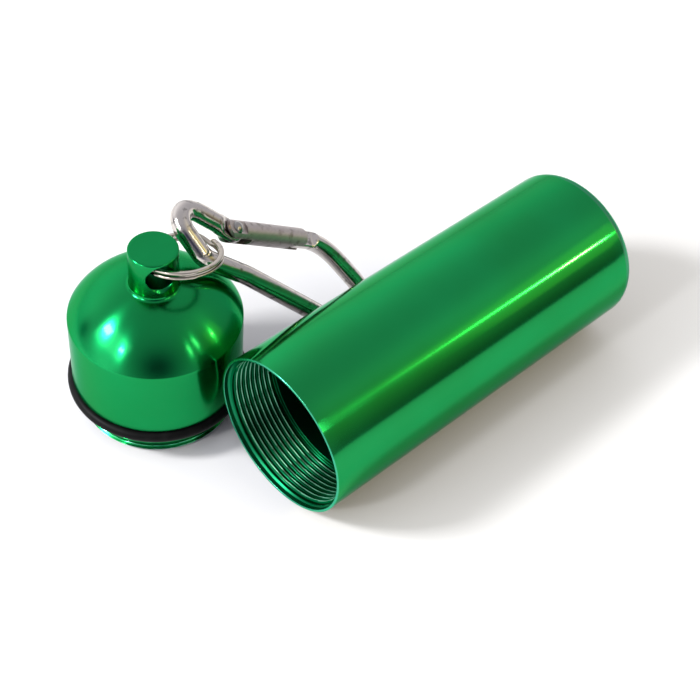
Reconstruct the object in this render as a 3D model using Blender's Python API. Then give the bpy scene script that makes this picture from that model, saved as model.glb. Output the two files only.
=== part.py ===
"""Waterproof capsule: a threaded tube, its domed cap, a split ring and a snap hook.

The tube lies on its side with its axis along X and its mouth towards -X. The cap
stands beside the mouth on its plug. Units are metres and +Z is up.
"""

import math

import bmesh
import bpy
from mathutils import Matrix, Vector

MM = 0.001

# Clearances
SEAT_GAP = 0.3 * MM
RIVET_GAP = 0.1 * MM
CUT_OVERRUN = 1.0 * MM

# Thread on the cap's plug; the tube, the skirt and the seal are sized round it
PLUG_RADIUS = 15.1 * MM
PLUG_THREAD_LENGTH = 4.9 * MM

# Tube
MOUTH_WALL = 0.8 * MM
TUBE_LENGTH = 81.5 * MM
TUBE_WALL = 1.6 * MM
TUBE_BASE = 2.0 * MM
TUBE_BASE_ROUND = 2.4 * MM
TUBE_BORE_ROUND = 2.0 * MM
MOUTH_LEAD_DEPTH = 1.9 * MM
MOUTH_LEAD_STEP = 0.3 * MM
MOUTH_EDGE = 0.15 * MM
THREAD_BORE_DEPTH = 11.3 * MM

# Cap
SKIRT_OVERHANG = 0.45 * MM
SKIRT_HEIGHT = 15.1 * MM
SKIRT_EDGE = 0.3 * MM
DOME_SIDE_RADIUS = 1.0 * MM
DOME_SIDE_TURN = 30.0
DOME_CROWN_RADIUS = 16.5 * MM
NECK_STEP = 0.1 * MM
PLUG_WALL = 1.6 * MM
PLUG_CHAMFER = 0.5 * MM
CAVITY_STRAIGHT = 18.5 * MM
CAVITY_ROUND = 9.0 * MM

# Knob on the cap, with its cross hole
KNOB_RADIUS = 4.8 * MM
KNOB_HEIGHT = 8.9 * MM
KNOB_EDGE = 0.3 * MM
KNOB_FILLET = 0.8 * MM
HOLE_RADIUS = 2.8 * MM
HOLE_BELOW_TOP = 3.7 * MM
HOLE_RIM = 0.55 * MM
HOLE_BEARING = -109.3

# Sealing ring under the skirt
SEAL_SECTION_RADIUS = 1.15 * MM

# Where the cap stands: ahead of the mouth, and beside the tube with this gap
CAP_AHEAD = 2.4 * MM
STANDING_GAP = 0.35 * MM
# How far in front of the mouth the plug is held when the cap is brought round
CARRIED_GAP = 1.0 * MM

# Split ring: two turns of flat wire
RING_RADIUS = 7.2 * MM
RING_STRAND_WIDTH = 1.0 * MM
RING_STRAND_HEIGHT = 0.55 * MM
RING_TURN_GAP = 0.4 * MM
RING_REACH = 5.5 * MM
RING_RISE = 0.08 * MM
RING_TILT = -14.9
RING_LEAN = 3.0
RING_STEP_BEARING = 37.0
RING_STEP_TURN = 30.0
RING_END_GAP_TURN = 2.0

# Snap hook: a bent rod whose two ends are flattened into tongues. Its small eye
# tapers from a tight end to a heel, where the rod turns into the straight spine
ROD_RADIUS = 1.95 * MM
EYE_TOP_ABOVE = 4.8 * MM
EYE_TOP_RADIUS = 8.9 * MM
EYE_END_BEHIND = 8.3 * MM
EYE_END_ABOVE = 2.65 * MM
EYE_END_RADIUS = 3.2 * MM
HEEL_ALONG = 1.7 * MM
HEEL_BELOW = 4.95 * MM
HEEL_RADIUS = 3.4 * MM
SPINE_BELOW = 3.6 * MM
KNEE_ALONG = 13.0 * MM
KNEE_RADIUS = 20.0 * MM
FAR_BEND_PAST_GATE = 13.69 * MM
FAR_BEND_RADIUS = 7.3 * MM
ARM_SLOPE = 25.4
ARM_BEND_RADIUS = 13.7 * MM
PIVOT_ALONG = 9.3 * MM
PIVOT_ABOVE = 4.8 * MM
GATE_ANGLE = 20.8
GATE_LENGTH = 21.3 * MM
ARM_BEND_PAST_GATE = 1.5 * MM
TONGUE_THICKNESS = 1.6 * MM
PIVOT_SHOULDER = 1.4 * MM
NOSE_SHOULDER = 0.8 * MM
NOSE_WIDTH = 3.9 * MM
NOSE_OVERLAP = 2.4 * MM
NOSE_LENGTH = 5.75 * MM

# Gate of the snap hook
SLEEVE_RADIUS = 2.3 * MM
SLEEVE_FLAT = 1.9 * MM
SLEEVE_END_CHAMFER = 0.8 * MM
FORK_DEPTH = 4.2 * MM
SPRING_BORE_RADIUS = 1.4 * MM
SPRING_BORE_LENGTH = 11.0 * MM
RIVET_RADIUS = 0.75 * MM
RIVET_HEAD_RADIUS = 1.3 * MM
RIVET_HEAD_HEIGHT = 0.7 * MM
PLUNGER_HEAD_LENGTH = 3.2 * MM
PLUNGER_STEM_RADIUS = 0.42 * MM
PLUNGER_STEM_LENGTH = 2.0 * MM
SPRING_WIRE_RADIUS = 0.17 * MM
SPRING_TURNS = 8

# How the hook hangs: its bearing from the tube's axis, its dip and its lean
HOOK_BEARING = -26.8
HOOK_DIP = 43.5
HOOK_LEAN = 15.6
# Where the rod passes through the split ring: the distance from the heel's corner, the
# bearing from the ring's middle, and the room that the slanting rod needs by the wire
CROSSING_FROM_HEEL = 2.9 * MM
RING_CROSSING = 36.8
CROSSING_ROOM = 0.57 * MM
# The bearing round the ring where the hook hangs on its wire
HANG_BEARING = 45.0
# The bearing of the line that the ring swings about, through the hole's middle
SWING_BEARING = -85.0

# Facets
ROUND_SIDES = 64
SMALL_SIDES = 24
RING_LOOP_POINTS = 32
SPRING_LOOP_POINTS = 9
ROD_SIDES = 12
ROD_STEP = 1.3 * MM

# Values that follow from the sizes above
THREAD_BORE_RADIUS = PLUG_RADIUS + SEAT_GAP
LEAD_RADIUS = THREAD_BORE_RADIUS + MOUTH_LEAD_STEP
TUBE_RADIUS = THREAD_BORE_RADIUS + MOUTH_WALL
CAP_RADIUS = TUBE_RADIUS + SKIRT_OVERHANG
NECK_RADIUS = PLUG_RADIUS - NECK_STEP
SEAL_RADIUS = NECK_RADIUS + SEAT_GAP + SEAL_SECTION_RADIUS
NECK_LENGTH = 2 * (SEAL_SECTION_RADIUS + SEAT_GAP)
PLUG_LENGTH = PLUG_THREAD_LENGTH + NECK_LENGTH
DOME_START = PLUG_LENGTH + SKIRT_HEIGHT
CAVITY_RADIUS = PLUG_RADIUS - PLUG_WALL
SLOT_WIDTH = TONGUE_THICKNESS + 2 * SEAT_GAP
FORK_RADIUS = SLEEVE_RADIUS
PLUNGER_RADIUS = SPRING_BORE_RADIUS - SEAT_GAP
PLUNGER_START = FORK_RADIUS + SEAT_GAP
SPRING_START = PLUNGER_START + PLUNGER_HEAD_LENGTH + SEAT_GAP
SPRING_END = PLUNGER_START + SPRING_BORE_LENGTH - SEAT_GAP


def clear_scene():
    """Remove every object that the file holds."""
    for item in list(bpy.data.objects):
        bpy.data.objects.remove(item, do_unlink=True)


def make_material(name, colour, metallic, roughness):
    """Make a Principled material with one colour, metallic value and roughness."""
    material = bpy.data.materials.new(name)
    material.use_nodes = True
    shader = material.node_tree.nodes["Principled BSDF"]
    shader.inputs["Base Color"].default_value = (*colour, 1.0)
    shader.inputs["Metallic"].default_value = metallic
    shader.inputs["Roughness"].default_value = roughness
    material.diffuse_color = (*colour, 1.0)
    return material


def make_object(name, mesh, material, smooth_angle=30.0):
    """Wrap a mesh in an object with its material and smooth round faces."""
    item = bpy.data.objects.new(name, mesh)
    bpy.context.collection.objects.link(item)
    if material is not None:
        mesh.materials.append(material)
    mesh.shade_smooth()
    mesh.set_sharp_from_angle(angle=math.radians(smooth_angle))
    return item


def make_empty(name, parent, matrix):
    """Make an empty with a world matrix, under a parent empty."""
    empty = bpy.data.objects.new(name, None)
    bpy.context.collection.objects.link(empty)
    attach(empty, parent, matrix)
    return empty


def attach(item, parent, matrix):
    """Parent an object and give it a world matrix."""
    item.parent = parent
    item.matrix_basis = world_matrix(parent).inverted() @ matrix


def world_matrix(item):
    """Multiply the matrices of an object and its parents."""
    if item is None:
        return Matrix.Identity(4)
    return world_matrix(item.parent) @ item.matrix_basis


def arc(centre, radius, start, end, steps):
    """Points on an arc of the profile plane, from one angle to another in degrees."""
    points = []
    for index in range(steps + 1):
        angle = math.radians(start + (end - start) * index / steps)
        points.append((centre[0] + radius * math.cos(angle), centre[1] + radius * math.sin(angle)))
    return points


def turned_mesh(name, profile, sides):
    """Turn a closed profile of (radius, height) points about Z into a solid."""
    mesh = bpy.data.meshes.new(name)
    build = bmesh.new()
    rings = []
    for radius, height in profile:
        if radius == 0:
            rings.append([build.verts.new((0, 0, height))])
            continue
        ring = []
        for index in range(sides):
            angle = math.tau * index / sides
            ring.append(build.verts.new((radius * math.cos(angle), radius * math.sin(angle), height)))
        rings.append(ring)
    count = len(rings)
    for row in range(count):
        lower = rings[row]
        upper = rings[(row + 1) % count]
        if len(lower) == 1 and len(upper) == 1:
            continue
        for index in range(sides):
            after = (index + 1) % sides
            corners = [lower[index % len(lower)], lower[after % len(lower)]]
            corners += [upper[after % len(upper)], upper[index % len(upper)]]
            build.faces.new(list(dict.fromkeys(corners)))
    bmesh.ops.recalc_face_normals(build, faces=build.faces)
    build.to_mesh(mesh)
    build.free()
    return mesh


def lofted_mesh(name, sections):
    """Skin a row of closed sections, each a list of points, and cap both ends."""
    mesh = bpy.data.meshes.new(name)
    build = bmesh.new()
    rings = [[build.verts.new(point) for point in section] for section in sections]
    sides = len(rings[0])
    for lower, upper in zip(rings, rings[1:]):
        for index in range(sides):
            after = (index + 1) % sides
            build.faces.new((lower[index], lower[after], upper[after], upper[index]))
    build.faces.new(list(reversed(rings[0])))
    build.faces.new(rings[-1])
    bmesh.ops.recalc_face_normals(build, faces=build.faces)
    build.to_mesh(mesh)
    build.free()
    return mesh


def prism_mesh(name, outline, half_depth):
    """Extrude a closed outline of the XY plane to both sides along Z."""
    sections = [[Vector((x, y, z)) for x, y in outline] for z in (-half_depth, half_depth)]
    return lofted_mesh(name, sections)


def boolean(item, cutter_mesh, operation, matrix=None):
    """Cut or keep part of an object with a mesh given in the object's own axes."""
    cutter = bpy.data.objects.new(item.name + "_" + operation.lower(), cutter_mesh)
    bpy.context.collection.objects.link(cutter)
    cutter.hide_render = True
    cutter.display_type = "WIRE"
    cutter.parent = item
    if matrix is not None:
        cutter.matrix_basis = matrix
    modifier = item.modifiers.new(operation.lower(), "BOOLEAN")
    modifier.operation = operation
    modifier.solver = "EXACT"
    modifier.object = cutter


def rounded_section(centre, side, up, half_side, half_up, power):
    """Points of an oval section: power 2 is an ellipse, more is squarer."""
    points = []
    for index in range(ROD_SIDES):
        angle = math.tau * (index + 0.5) / ROD_SIDES
        along, across = math.cos(angle), math.sin(angle)
        reach_side = math.copysign(abs(along) ** (2 / power), along) * half_side
        reach_up = math.copysign(abs(across) ** (2 / power), across) * half_up
        points.append(centre + side * reach_side + up * reach_up)
    return points


def coil_sections(path, half_out, half_axial, power):
    """Sections along a path that winds about Z, each square to the path."""
    sections = []
    for index, point in enumerate(path):
        before = path[max(index - 1, 0)]
        after = path[min(index + 1, len(path) - 1)]
        forward = (after - before).normalized()
        outward = Vector((point.x, point.y, 0)).normalized()
        up = outward.cross(forward).normalized()
        side = forward.cross(up)
        sections.append(rounded_section(point, side, up, half_out, half_axial, power))
    return sections


def least_self_gap(path, reach, skipped):
    """Least gap of a wound wire to itself, on its points, leaving out near neighbours."""
    least = math.inf
    for index, point in enumerate(path):
        for other in path[index + skipped:]:
            least = min(least, (point - other).length)
    return least - reach


# Tube


def tube_profile():
    """Half section of the tube, from the base's centre out to the mouth and back inside."""
    bore = TUBE_RADIUS - TUBE_WALL
    base_inside = TUBE_LENGTH - TUBE_BASE
    outer_centre = (TUBE_RADIUS - TUBE_BASE_ROUND, TUBE_LENGTH - TUBE_BASE_ROUND)
    outer_round = arc(outer_centre, TUBE_BASE_ROUND, 90, 0, 6)
    inner_round = arc((bore - TUBE_BORE_ROUND, base_inside - TUBE_BORE_ROUND), TUBE_BORE_ROUND, 0, 90, 4)
    points = [(0, TUBE_LENGTH)]
    points += outer_round
    points += [(TUBE_RADIUS, MOUTH_EDGE), (TUBE_RADIUS - MOUTH_EDGE, 0)]
    points += [(LEAD_RADIUS + MOUTH_EDGE, 0), (LEAD_RADIUS, MOUTH_EDGE)]
    points += [(LEAD_RADIUS, MOUTH_LEAD_DEPTH), (THREAD_BORE_RADIUS, MOUTH_LEAD_DEPTH + MOUTH_LEAD_STEP)]
    points += [(THREAD_BORE_RADIUS, THREAD_BORE_DEPTH), (bore, THREAD_BORE_DEPTH)]
    points += inner_round
    points.append((0, base_inside))
    return points


def build_tube(root, material):
    """The tube lies along X, with its mouth at the origin's plane."""
    item = make_object("tube", turned_mesh("tube", tube_profile(), ROUND_SIDES), material)
    along_x = Matrix.Rotation(math.radians(90), 4, "Y")
    attach(item, root, Matrix.Translation((0, 0, TUBE_RADIUS)) @ along_x)
    return item


# Cap


def dome_points():
    """Outside of the dome, from the skirt up to the knob: two arcs that run into each other."""
    side_centre = (CAP_RADIUS - DOME_SIDE_RADIUS, DOME_START)
    side = arc(side_centre, DOME_SIDE_RADIUS, 0, DOME_SIDE_TURN, 4)
    turn = math.radians(DOME_SIDE_TURN)
    crown_centre_radius = side[-1][0] - DOME_CROWN_RADIUS * math.cos(turn)
    crown_centre_height = side[-1][1] - DOME_CROWN_RADIUS * math.sin(turn)
    reach = (KNOB_RADIUS + KNOB_FILLET - crown_centre_radius) / DOME_CROWN_RADIUS
    crown_end = math.degrees(math.acos(reach))
    crown = arc((crown_centre_radius, crown_centre_height), DOME_CROWN_RADIUS, DOME_SIDE_TURN, crown_end, 11)
    return side + crown[1:]


def knob_base_height():
    """Height at which the dome meets the fillet of the knob."""
    return dome_points()[-1][1]


def hole_height():
    """Height of the cross hole's axis above the plug's end."""
    return knob_base_height() + KNOB_HEIGHT - HOLE_BELOW_TOP


def cap_profile():
    """Half section of the cap: knob, dome, skirt, neck, plug and the hollow inside."""
    base = knob_base_height()
    top = base + KNOB_HEIGHT
    points = [(0, top), (KNOB_RADIUS - KNOB_EDGE, top), (KNOB_RADIUS, top - KNOB_EDGE)]
    points += arc((KNOB_RADIUS + KNOB_FILLET, base + KNOB_FILLET), KNOB_FILLET, 180, 270, 4)
    points += list(reversed(dome_points()))[1:]
    points += [(CAP_RADIUS, PLUG_LENGTH + SKIRT_EDGE), (CAP_RADIUS - SKIRT_EDGE, PLUG_LENGTH)]
    points += [(NECK_RADIUS, PLUG_LENGTH), (NECK_RADIUS, PLUG_THREAD_LENGTH)]
    points += [(PLUG_RADIUS, PLUG_THREAD_LENGTH), (PLUG_RADIUS, PLUG_CHAMFER)]
    points += [(PLUG_RADIUS - PLUG_CHAMFER, 0), (CAVITY_RADIUS, 0)]
    points += arc((CAVITY_RADIUS - CAVITY_ROUND, CAVITY_STRAIGHT), CAVITY_ROUND, 0, 90, 6)
    points.append((0, CAVITY_STRAIGHT + CAVITY_ROUND))
    return points


def hole_cutter():
    """Cutter for the cross hole, with a rim that flares at both sides of the knob."""
    reach = KNOB_RADIUS + CUT_OVERRUN
    flare = HOLE_RADIUS + HOLE_RIM + CUT_OVERRUN
    waist = KNOB_RADIUS - HOLE_RIM
    below = [(0, -reach), (flare, -reach), (HOLE_RADIUS, -waist)]
    profile = below + [(x, -z) for x, z in reversed(below)]
    return turned_mesh("cross_hole", profile, SMALL_SIDES)


def hole_direction():
    """Direction of the cross hole, out of the side that faces the viewer."""
    bearing = math.radians(HOLE_BEARING)
    return Vector((math.cos(bearing), math.sin(bearing), 0))


def cap_place():
    """Centre of the plug's end where the cap stands."""
    return Vector((-CAP_AHEAD, TUBE_RADIUS + CAP_RADIUS + STANDING_GAP, 0))


def build_cap(parent, material):
    """The cap, with the cross hole cut through its knob."""
    item = make_object("cap", turned_mesh("cap", cap_profile(), ROUND_SIDES), material)
    attach(item, parent, Matrix.Translation(cap_place()))
    along_hole = Vector((0, 0, 1)).rotation_difference(hole_direction()).to_matrix().to_4x4()
    boolean(item, hole_cutter(), "DIFFERENCE", Matrix.Translation((0, 0, hole_height())) @ along_hole)
    return item


def build_seal(parent, material):
    """The rubber sealing ring under the skirt."""
    section = arc((SEAL_RADIUS, 0), SEAL_SECTION_RADIUS, 0, 360, 12)[:-1]
    item = make_object("o_ring", turned_mesh("o_ring", section, ROUND_SIDES), material, 60.0)
    height = PLUG_LENGTH - SEAT_GAP - SEAL_SECTION_RADIUS
    attach(item, parent, Matrix.Translation(cap_place() + Vector((0, 0, height))))
    return item


def carry_axis_matrix():
    """Frame whose Z is the one axis that turns the standing cap onto the tube's axis.

    The cap's axis goes from +Z to -X, and the plug's end goes from where it stands to
    just in front of the mouth. The axis is square to that move and to the sum of the
    two directions, so the move is a turn with no slide.
    """
    start = cap_place()
    end = Vector((-CARRIED_GAP, 0, TUBE_RADIUS))
    move = end - start
    before, after = Vector((0, 0, 1)), Vector((-1, 0, 0))
    axis = (before - after).cross(move).normalized()
    flat_before = before - axis * before.dot(axis)
    flat_after = after - axis * after.dot(axis)
    turn = math.atan2(axis.dot(flat_before.cross(flat_after)), flat_before.dot(flat_after))
    point = (start + end) / 2 + axis.cross(move) / (2 * math.tan(turn / 2))
    return Matrix.Translation(point) @ Vector((0, 0, 1)).rotation_difference(axis).to_matrix().to_4x4()


# Split ring


def ring_frame():
    """Frame of the split ring: its centre, and Z square to its turns."""
    reach = Vector((0, 0, 1)).cross(hole_direction())
    centre = cap_place() + Vector((0, 0, hole_height() + RING_RISE)) + reach * RING_REACH
    axes = Matrix.Identity(3)
    axes.col[0] = reach
    axes.col[1] = Vector((0, 0, 1)).cross(reach)
    tilt = Matrix.Rotation(math.radians(RING_TILT), 4, "X")
    lean = Matrix.Rotation(math.radians(RING_LEAN), 4, "Y")
    return Matrix.Translation(centre) @ axes.to_4x4() @ tilt @ lean


def ring_path():
    """Middle line of the wire: two flat turns, with one step between them."""
    rise = (RING_STRAND_HEIGHT + RING_TURN_GAP) / 2
    total = 720 - RING_STEP_TURN - RING_END_GAP_TURN
    steps = round(RING_LOOP_POINTS * total / 360)
    start = RING_STEP_BEARING - 360 + (RING_STEP_TURN + RING_END_GAP_TURN) / 2
    path = []
    for index in range(steps + 1):
        bearing = start + total * index / steps
        share = (bearing - RING_STEP_BEARING) / RING_STEP_TURN + 0.5
        share = min(max(share, 0), 1)
        height = rise * (2 * share * share * (3 - 2 * share) - 1)
        angle = math.radians(bearing)
        path.append(Vector((RING_RADIUS * math.cos(angle), RING_RADIUS * math.sin(angle), height)))
    return path


def ring_swing_matrix():
    """Frame whose Z is the line that the ring swings about, within the hole's play."""
    angle = math.radians(SWING_BEARING)
    direction = Vector((math.cos(angle), math.sin(angle), 0))
    place = Matrix.Translation(cap_place() + Vector((0, 0, hole_height())))
    return place @ Vector((0, 0, 1)).rotation_difference(direction).to_matrix().to_4x4()


def build_ring(parent, material):
    """The split ring, which passes through the knob's cross hole."""
    path = ring_path()
    sections = coil_sections(path, RING_STRAND_WIDTH / 2, RING_STRAND_HEIGHT / 2, 3)
    item = make_object("split_ring", lofted_mesh("split_ring", sections), material, 50.0)
    attach(item, parent, ring_frame())
    print("split ring least gap, mm:", round(least_self_gap(path, RING_STRAND_HEIGHT, 8) / MM, 3))
    return item


# Snap hook


def hook_axes():
    """Directions of the hook: along its spine, across it to the gate, and square to both."""
    bearing = math.radians(HOOK_BEARING)
    dip = math.radians(HOOK_DIP)
    lean = math.radians(HOOK_LEAN)
    level = Vector((math.cos(bearing), math.sin(bearing), 0))
    spine = level * math.cos(dip) - Vector((0, 0, math.sin(dip)))
    beside = Vector((0, 0, 1)).cross(level)
    above = spine.cross(beside)
    across = beside * math.cos(lean) + above * math.sin(lean)
    return spine, across, spine.cross(across)


def eye_crossing():
    """Place of the rod's middle in the hook's own plane where it passes through the ring."""
    heel = Vector((HEEL_ALONG, -HEEL_BELOW))
    towards_end = Vector((-EYE_END_BEHIND, EYE_END_ABOVE)) - heel
    return heel + towards_end.normalized() * CROSSING_FROM_HEEL


def ring_direction(bearing):
    """Direction in the split ring's plane at a bearing from the side away from the cap."""
    angle = math.radians(bearing)
    return ring_frame().to_3x3() @ Vector((math.cos(angle), math.sin(angle), 0))


def crossing_point():
    """Place of the rod's middle where it passes through the split ring."""
    reach = RING_RADIUS - RING_STRAND_WIDTH / 2 - ROD_RADIUS - CROSSING_ROOM
    return ring_frame().translation + ring_direction(RING_CROSSING) * reach


def hook_frame():
    """Frame of the hook: origin at the eye's middle, X along the spine, Y to the gate."""
    spine, across, normal = hook_axes()
    along, above = eye_crossing()
    crossing = crossing_point()
    matrix = Matrix.Identity(4)
    for column, direction in enumerate((spine, across, normal)):
        matrix.col[column] = (*direction, 0)
    matrix.translation = crossing - spine * along - across * above
    return matrix


def hook_swing_matrix():
    """Frame whose Z is the ring wire's direction where the hook hangs on it."""
    place = ring_frame().translation + ring_direction(HANG_BEARING) * RING_RADIUS
    direction = ring_direction(HANG_BEARING + 90)
    return Matrix.Translation(place) @ Vector((0, 0, 1)).rotation_difference(direction).to_matrix().to_4x4()


def rounded_corner(before, corner, after, radius, steps):
    """Points of the arc that rounds a corner and touches both of its sides."""
    back = (Vector(before) - Vector(corner)).normalized()
    ahead = (Vector(after) - Vector(corner)).normalized()
    turn = math.pi - back.angle(ahead)
    centre = Vector(corner) + (back + ahead).normalized() * radius / math.cos(turn / 2)
    start = Vector(corner) + back * radius * math.tan(turn / 2) - centre
    side = math.copysign(1, back.cross(ahead))
    points = []
    for index in range(steps + 1):
        angle = -side * turn * index / steps
        across = Vector((-start.y, start.x))
        points.append(tuple(centre + start * math.cos(angle) + across * math.sin(angle)))
    return points


def gate_direction():
    """Direction of the closed gate in the hook's plane."""
    angle = math.radians(GATE_ANGLE)
    return math.cos(angle), math.sin(angle)


def hook_corners():
    """Middle line of the rod as straight ends and arcs, from the pivot round to the nose."""
    pivot = (PIVOT_ALONG, PIVOT_ABOVE)
    gate = gate_direction()
    top = (0, EYE_TOP_ABOVE)
    end = (-EYE_END_BEHIND, EYE_END_ABOVE)
    heel = (HEEL_ALONG, -HEEL_BELOW)
    knee = (KNEE_ALONG, -SPINE_BELOW)
    far_at = PIVOT_ALONG + gate[0] * GATE_LENGTH + FAR_BEND_PAST_GATE
    far = (far_at, -SPINE_BELOW)
    line = [pivot]
    line += rounded_corner(pivot, top, end, EYE_TOP_RADIUS, 8)
    line += rounded_corner(top, end, heel, EYE_END_RADIUS, 16)
    line += rounded_corner(end, heel, knee, HEEL_RADIUS, 8)
    line += rounded_corner(heel, knee, far, KNEE_RADIUS, 4)
    line += arc((far_at, FAR_BEND_RADIUS - SPINE_BELOW), FAR_BEND_RADIUS, -90, 90 - ARM_SLOPE, 18)
    bend_at = GATE_LENGTH + ARM_BEND_PAST_GATE
    bend_start = (pivot[0] + gate[0] * bend_at, pivot[1] + gate[1] * bend_at)
    bend_centre = (bend_start[0] + gate[1] * ARM_BEND_RADIUS, bend_start[1] - gate[0] * ARM_BEND_RADIUS)
    line += arc(bend_centre, ARM_BEND_RADIUS, 90 - ARM_SLOPE, 90 + GATE_ANGLE, 8)
    nose_start = GATE_LENGTH - NOSE_OVERLAP
    line.append((pivot[0] + gate[0] * nose_start, pivot[1] + gate[1] * nose_start))
    return line


def section_distances(total):
    """Distances of the rod's sections from the pivot: even steps between the shoulders' limits."""
    pivot_flat = FORK_RADIUS + SEAT_GAP
    nose_flat = total - NOSE_LENGTH
    marks = [0, pivot_flat, pivot_flat + PIVOT_SHOULDER, nose_flat - NOSE_SHOULDER, nose_flat, total]
    distances = [0]
    for before, after in zip(marks, marks[1:]):
        steps = max(round((after - before) / ROD_STEP), 2)
        distances += [before + (after - before) * index / steps for index in range(1, steps + 1)]
    return distances


def spread_points(line):
    """Distances and places of the rod's sections along a line of corners."""
    lengths = [0]
    for before, after in zip(line, line[1:]):
        lengths.append(lengths[-1] + math.dist(before, after))
    points = []
    row = 0
    for distance in section_distances(lengths[-1]):
        while row < len(line) - 2 and lengths[row + 1] < distance:
            row += 1
        share = (distance - lengths[row]) / (lengths[row + 1] - lengths[row])
        points.append((distance, [a + (b - a) * share for a, b in zip(line[row], line[row + 1])]))
    return points, lengths[-1]


def blend(distance, start, length):
    """Smooth change from 0 to 1 over a length."""
    share = min(max((distance - start) / length, 0), 1)
    return share * share * (3 - 2 * share)


def rod_section_sizes(distance, total):
    """Half thickness, half width and squareness of the rod at a distance from the pivot."""
    pivot_round = blend(distance, FORK_RADIUS + SEAT_GAP, PIVOT_SHOULDER)
    nose_round = blend(total - distance, NOSE_LENGTH, NOSE_SHOULDER)
    fullness = min(pivot_round, nose_round)
    end_width = FORK_RADIUS if pivot_round < nose_round else NOSE_WIDTH / 2
    thickness = TONGUE_THICKNESS / 2 + (ROD_RADIUS - TONGUE_THICKNESS / 2) * fullness
    width = end_width + (ROD_RADIUS - end_width) * fullness
    return thickness, width, 5 - 3 * fullness


def hook_sections():
    """Sections of the rod, with a round end on each tongue."""
    points, total = spread_points(hook_corners())
    round_steps = 4
    sections = []
    for index, (distance, place) in enumerate(points):
        before = points[max(index - 1, 0)][1]
        after = points[min(index + 1, len(points) - 1)][1]
        forward = Vector((after[0] - before[0], after[1] - before[1], 0)).normalized()
        side = Vector((-forward.y, forward.x, 0))
        centre = Vector((*place, 0))
        thickness, width, power = rod_section_sizes(distance, total)
        ends = {0: -1, len(points) - 1: 1}
        if index in ends:
            rounds = []
            for step in range(1, round_steps + 1):
                turn = math.radians(90) * step / (round_steps + 0.5)
                tip = centre + forward * ends[index] * width * math.sin(turn)
                narrow = width * math.cos(turn)
                rounds.append(rounded_section(tip, side, Vector((0, 0, 1)), narrow, thickness, power))
            body = [rounded_section(centre, side, Vector((0, 0, 1)), width, thickness, power)]
            sections += list(reversed(rounds)) + body if index == 0 else body + rounds
            continue
        sections.append(rounded_section(centre, side, Vector((0, 0, 1)), width, thickness, power))
    return sections


def pivot_matrix():
    """Place of the rivet in the hook's own frame, with X along the closed gate."""
    turn = Matrix.Rotation(math.radians(GATE_ANGLE), 4, "Z")
    return Matrix.Translation((PIVOT_ALONG, PIVOT_ABOVE, 0)) @ turn


def build_hook(parent, material):
    """The hook's bent rod, with the rivet's hole in its pivot tongue."""
    item = make_object("hook_frame", lofted_mesh("hook_frame", hook_sections()), material, 40.0)
    attach(item, parent, hook_frame())
    reach = ROD_RADIUS + CUT_OVERRUN
    radius = RIVET_RADIUS + RIVET_GAP
    profile = [(0, -reach), (radius, -reach), (radius, reach), (0, reach)]
    hole = turned_mesh("rivet_hole", profile, SMALL_SIDES)
    boolean(item, hole, "DIFFERENCE", pivot_matrix())
    return item


def sleeve_outline():
    """Side outline of the gate: round about the rivet, chamfered at the nose."""
    half = SLEEVE_RADIUS + CUT_OVERRUN
    chamfer = SLEEVE_END_CHAMFER + CUT_OVERRUN
    outline = arc((0, 0), FORK_RADIUS, 90, 270, 15)
    outline += [(0, -half), (GATE_LENGTH - chamfer, -half)]
    outline += [(GATE_LENGTH, chamfer - half), (GATE_LENGTH, half - chamfer)]
    outline += [(GATE_LENGTH - chamfer, half), (0, half)]
    return outline


def box_mesh(name, low, high):
    """A box between two corners."""
    outline = [(low[0], low[1]), (high[0], low[1]), (high[0], high[1]), (low[0], high[1])]
    sections = [[Vector((x, y, z)) for x, y in outline] for z in (low[2], high[2])]
    return lofted_mesh(name, sections)


def build_sleeve(parent, matrix, material):
    """The gate's sleeve: forked at the rivet, bored for its spring, slotted for the nose."""
    start = -FORK_RADIUS - CUT_OVERRUN
    end = GATE_LENGTH + CUT_OVERRUN
    profile = [(0, start), (SLEEVE_RADIUS, start), (SLEEVE_RADIUS, end), (0, end)]
    mesh = turned_mesh("gate_sleeve", profile, 2 * SMALL_SIDES)
    mesh.transform(Matrix.Rotation(math.radians(90), 4, "Y"))
    item = make_object("gate_sleeve", mesh, material)
    attach(item, parent, matrix)
    wide = SLEEVE_RADIUS + CUT_OVERRUN
    half_slot = SLOT_WIDTH / 2
    boolean(item, prism_mesh("gate_outline", sleeve_outline(), wide), "INTERSECT")
    fork = box_mesh("fork_slot", (start, -wide, -half_slot), (FORK_DEPTH, wide, half_slot))
    boolean(item, fork, "DIFFERENCE")
    nose_start = GATE_LENGTH - NOSE_OVERLAP - NOSE_WIDTH / 2 - SEAT_GAP
    nose = box_mesh("nose_slot", (nose_start, -wide, -half_slot), (end, wide, half_slot))
    boolean(item, nose, "DIFFERENCE")
    bore_end = PLUNGER_START + SPRING_BORE_LENGTH
    bore_profile = [(0, PLUNGER_START), (SPRING_BORE_RADIUS, PLUNGER_START)]
    bore_profile += [(SPRING_BORE_RADIUS, bore_end), (0, bore_end)]
    bore = turned_mesh("spring_bore", bore_profile, SMALL_SIDES)
    boolean(item, bore, "DIFFERENCE", Matrix.Rotation(math.radians(90), 4, "Y"))
    radius = RIVET_RADIUS + RIVET_GAP
    hole = turned_mesh("sleeve_hole", [(0, -wide), (radius, -wide), (radius, wide), (0, wide)], SMALL_SIDES)
    boolean(item, hole, "DIFFERENCE")
    for side in (-1, 1):
        low, high = sorted((side * SLEEVE_FLAT, side * wide))
        flat = box_mesh("cheek_flat", (start, -wide, low), (FORK_RADIUS, wide, high))
        boolean(item, flat, "DIFFERENCE")
    return item


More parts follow.
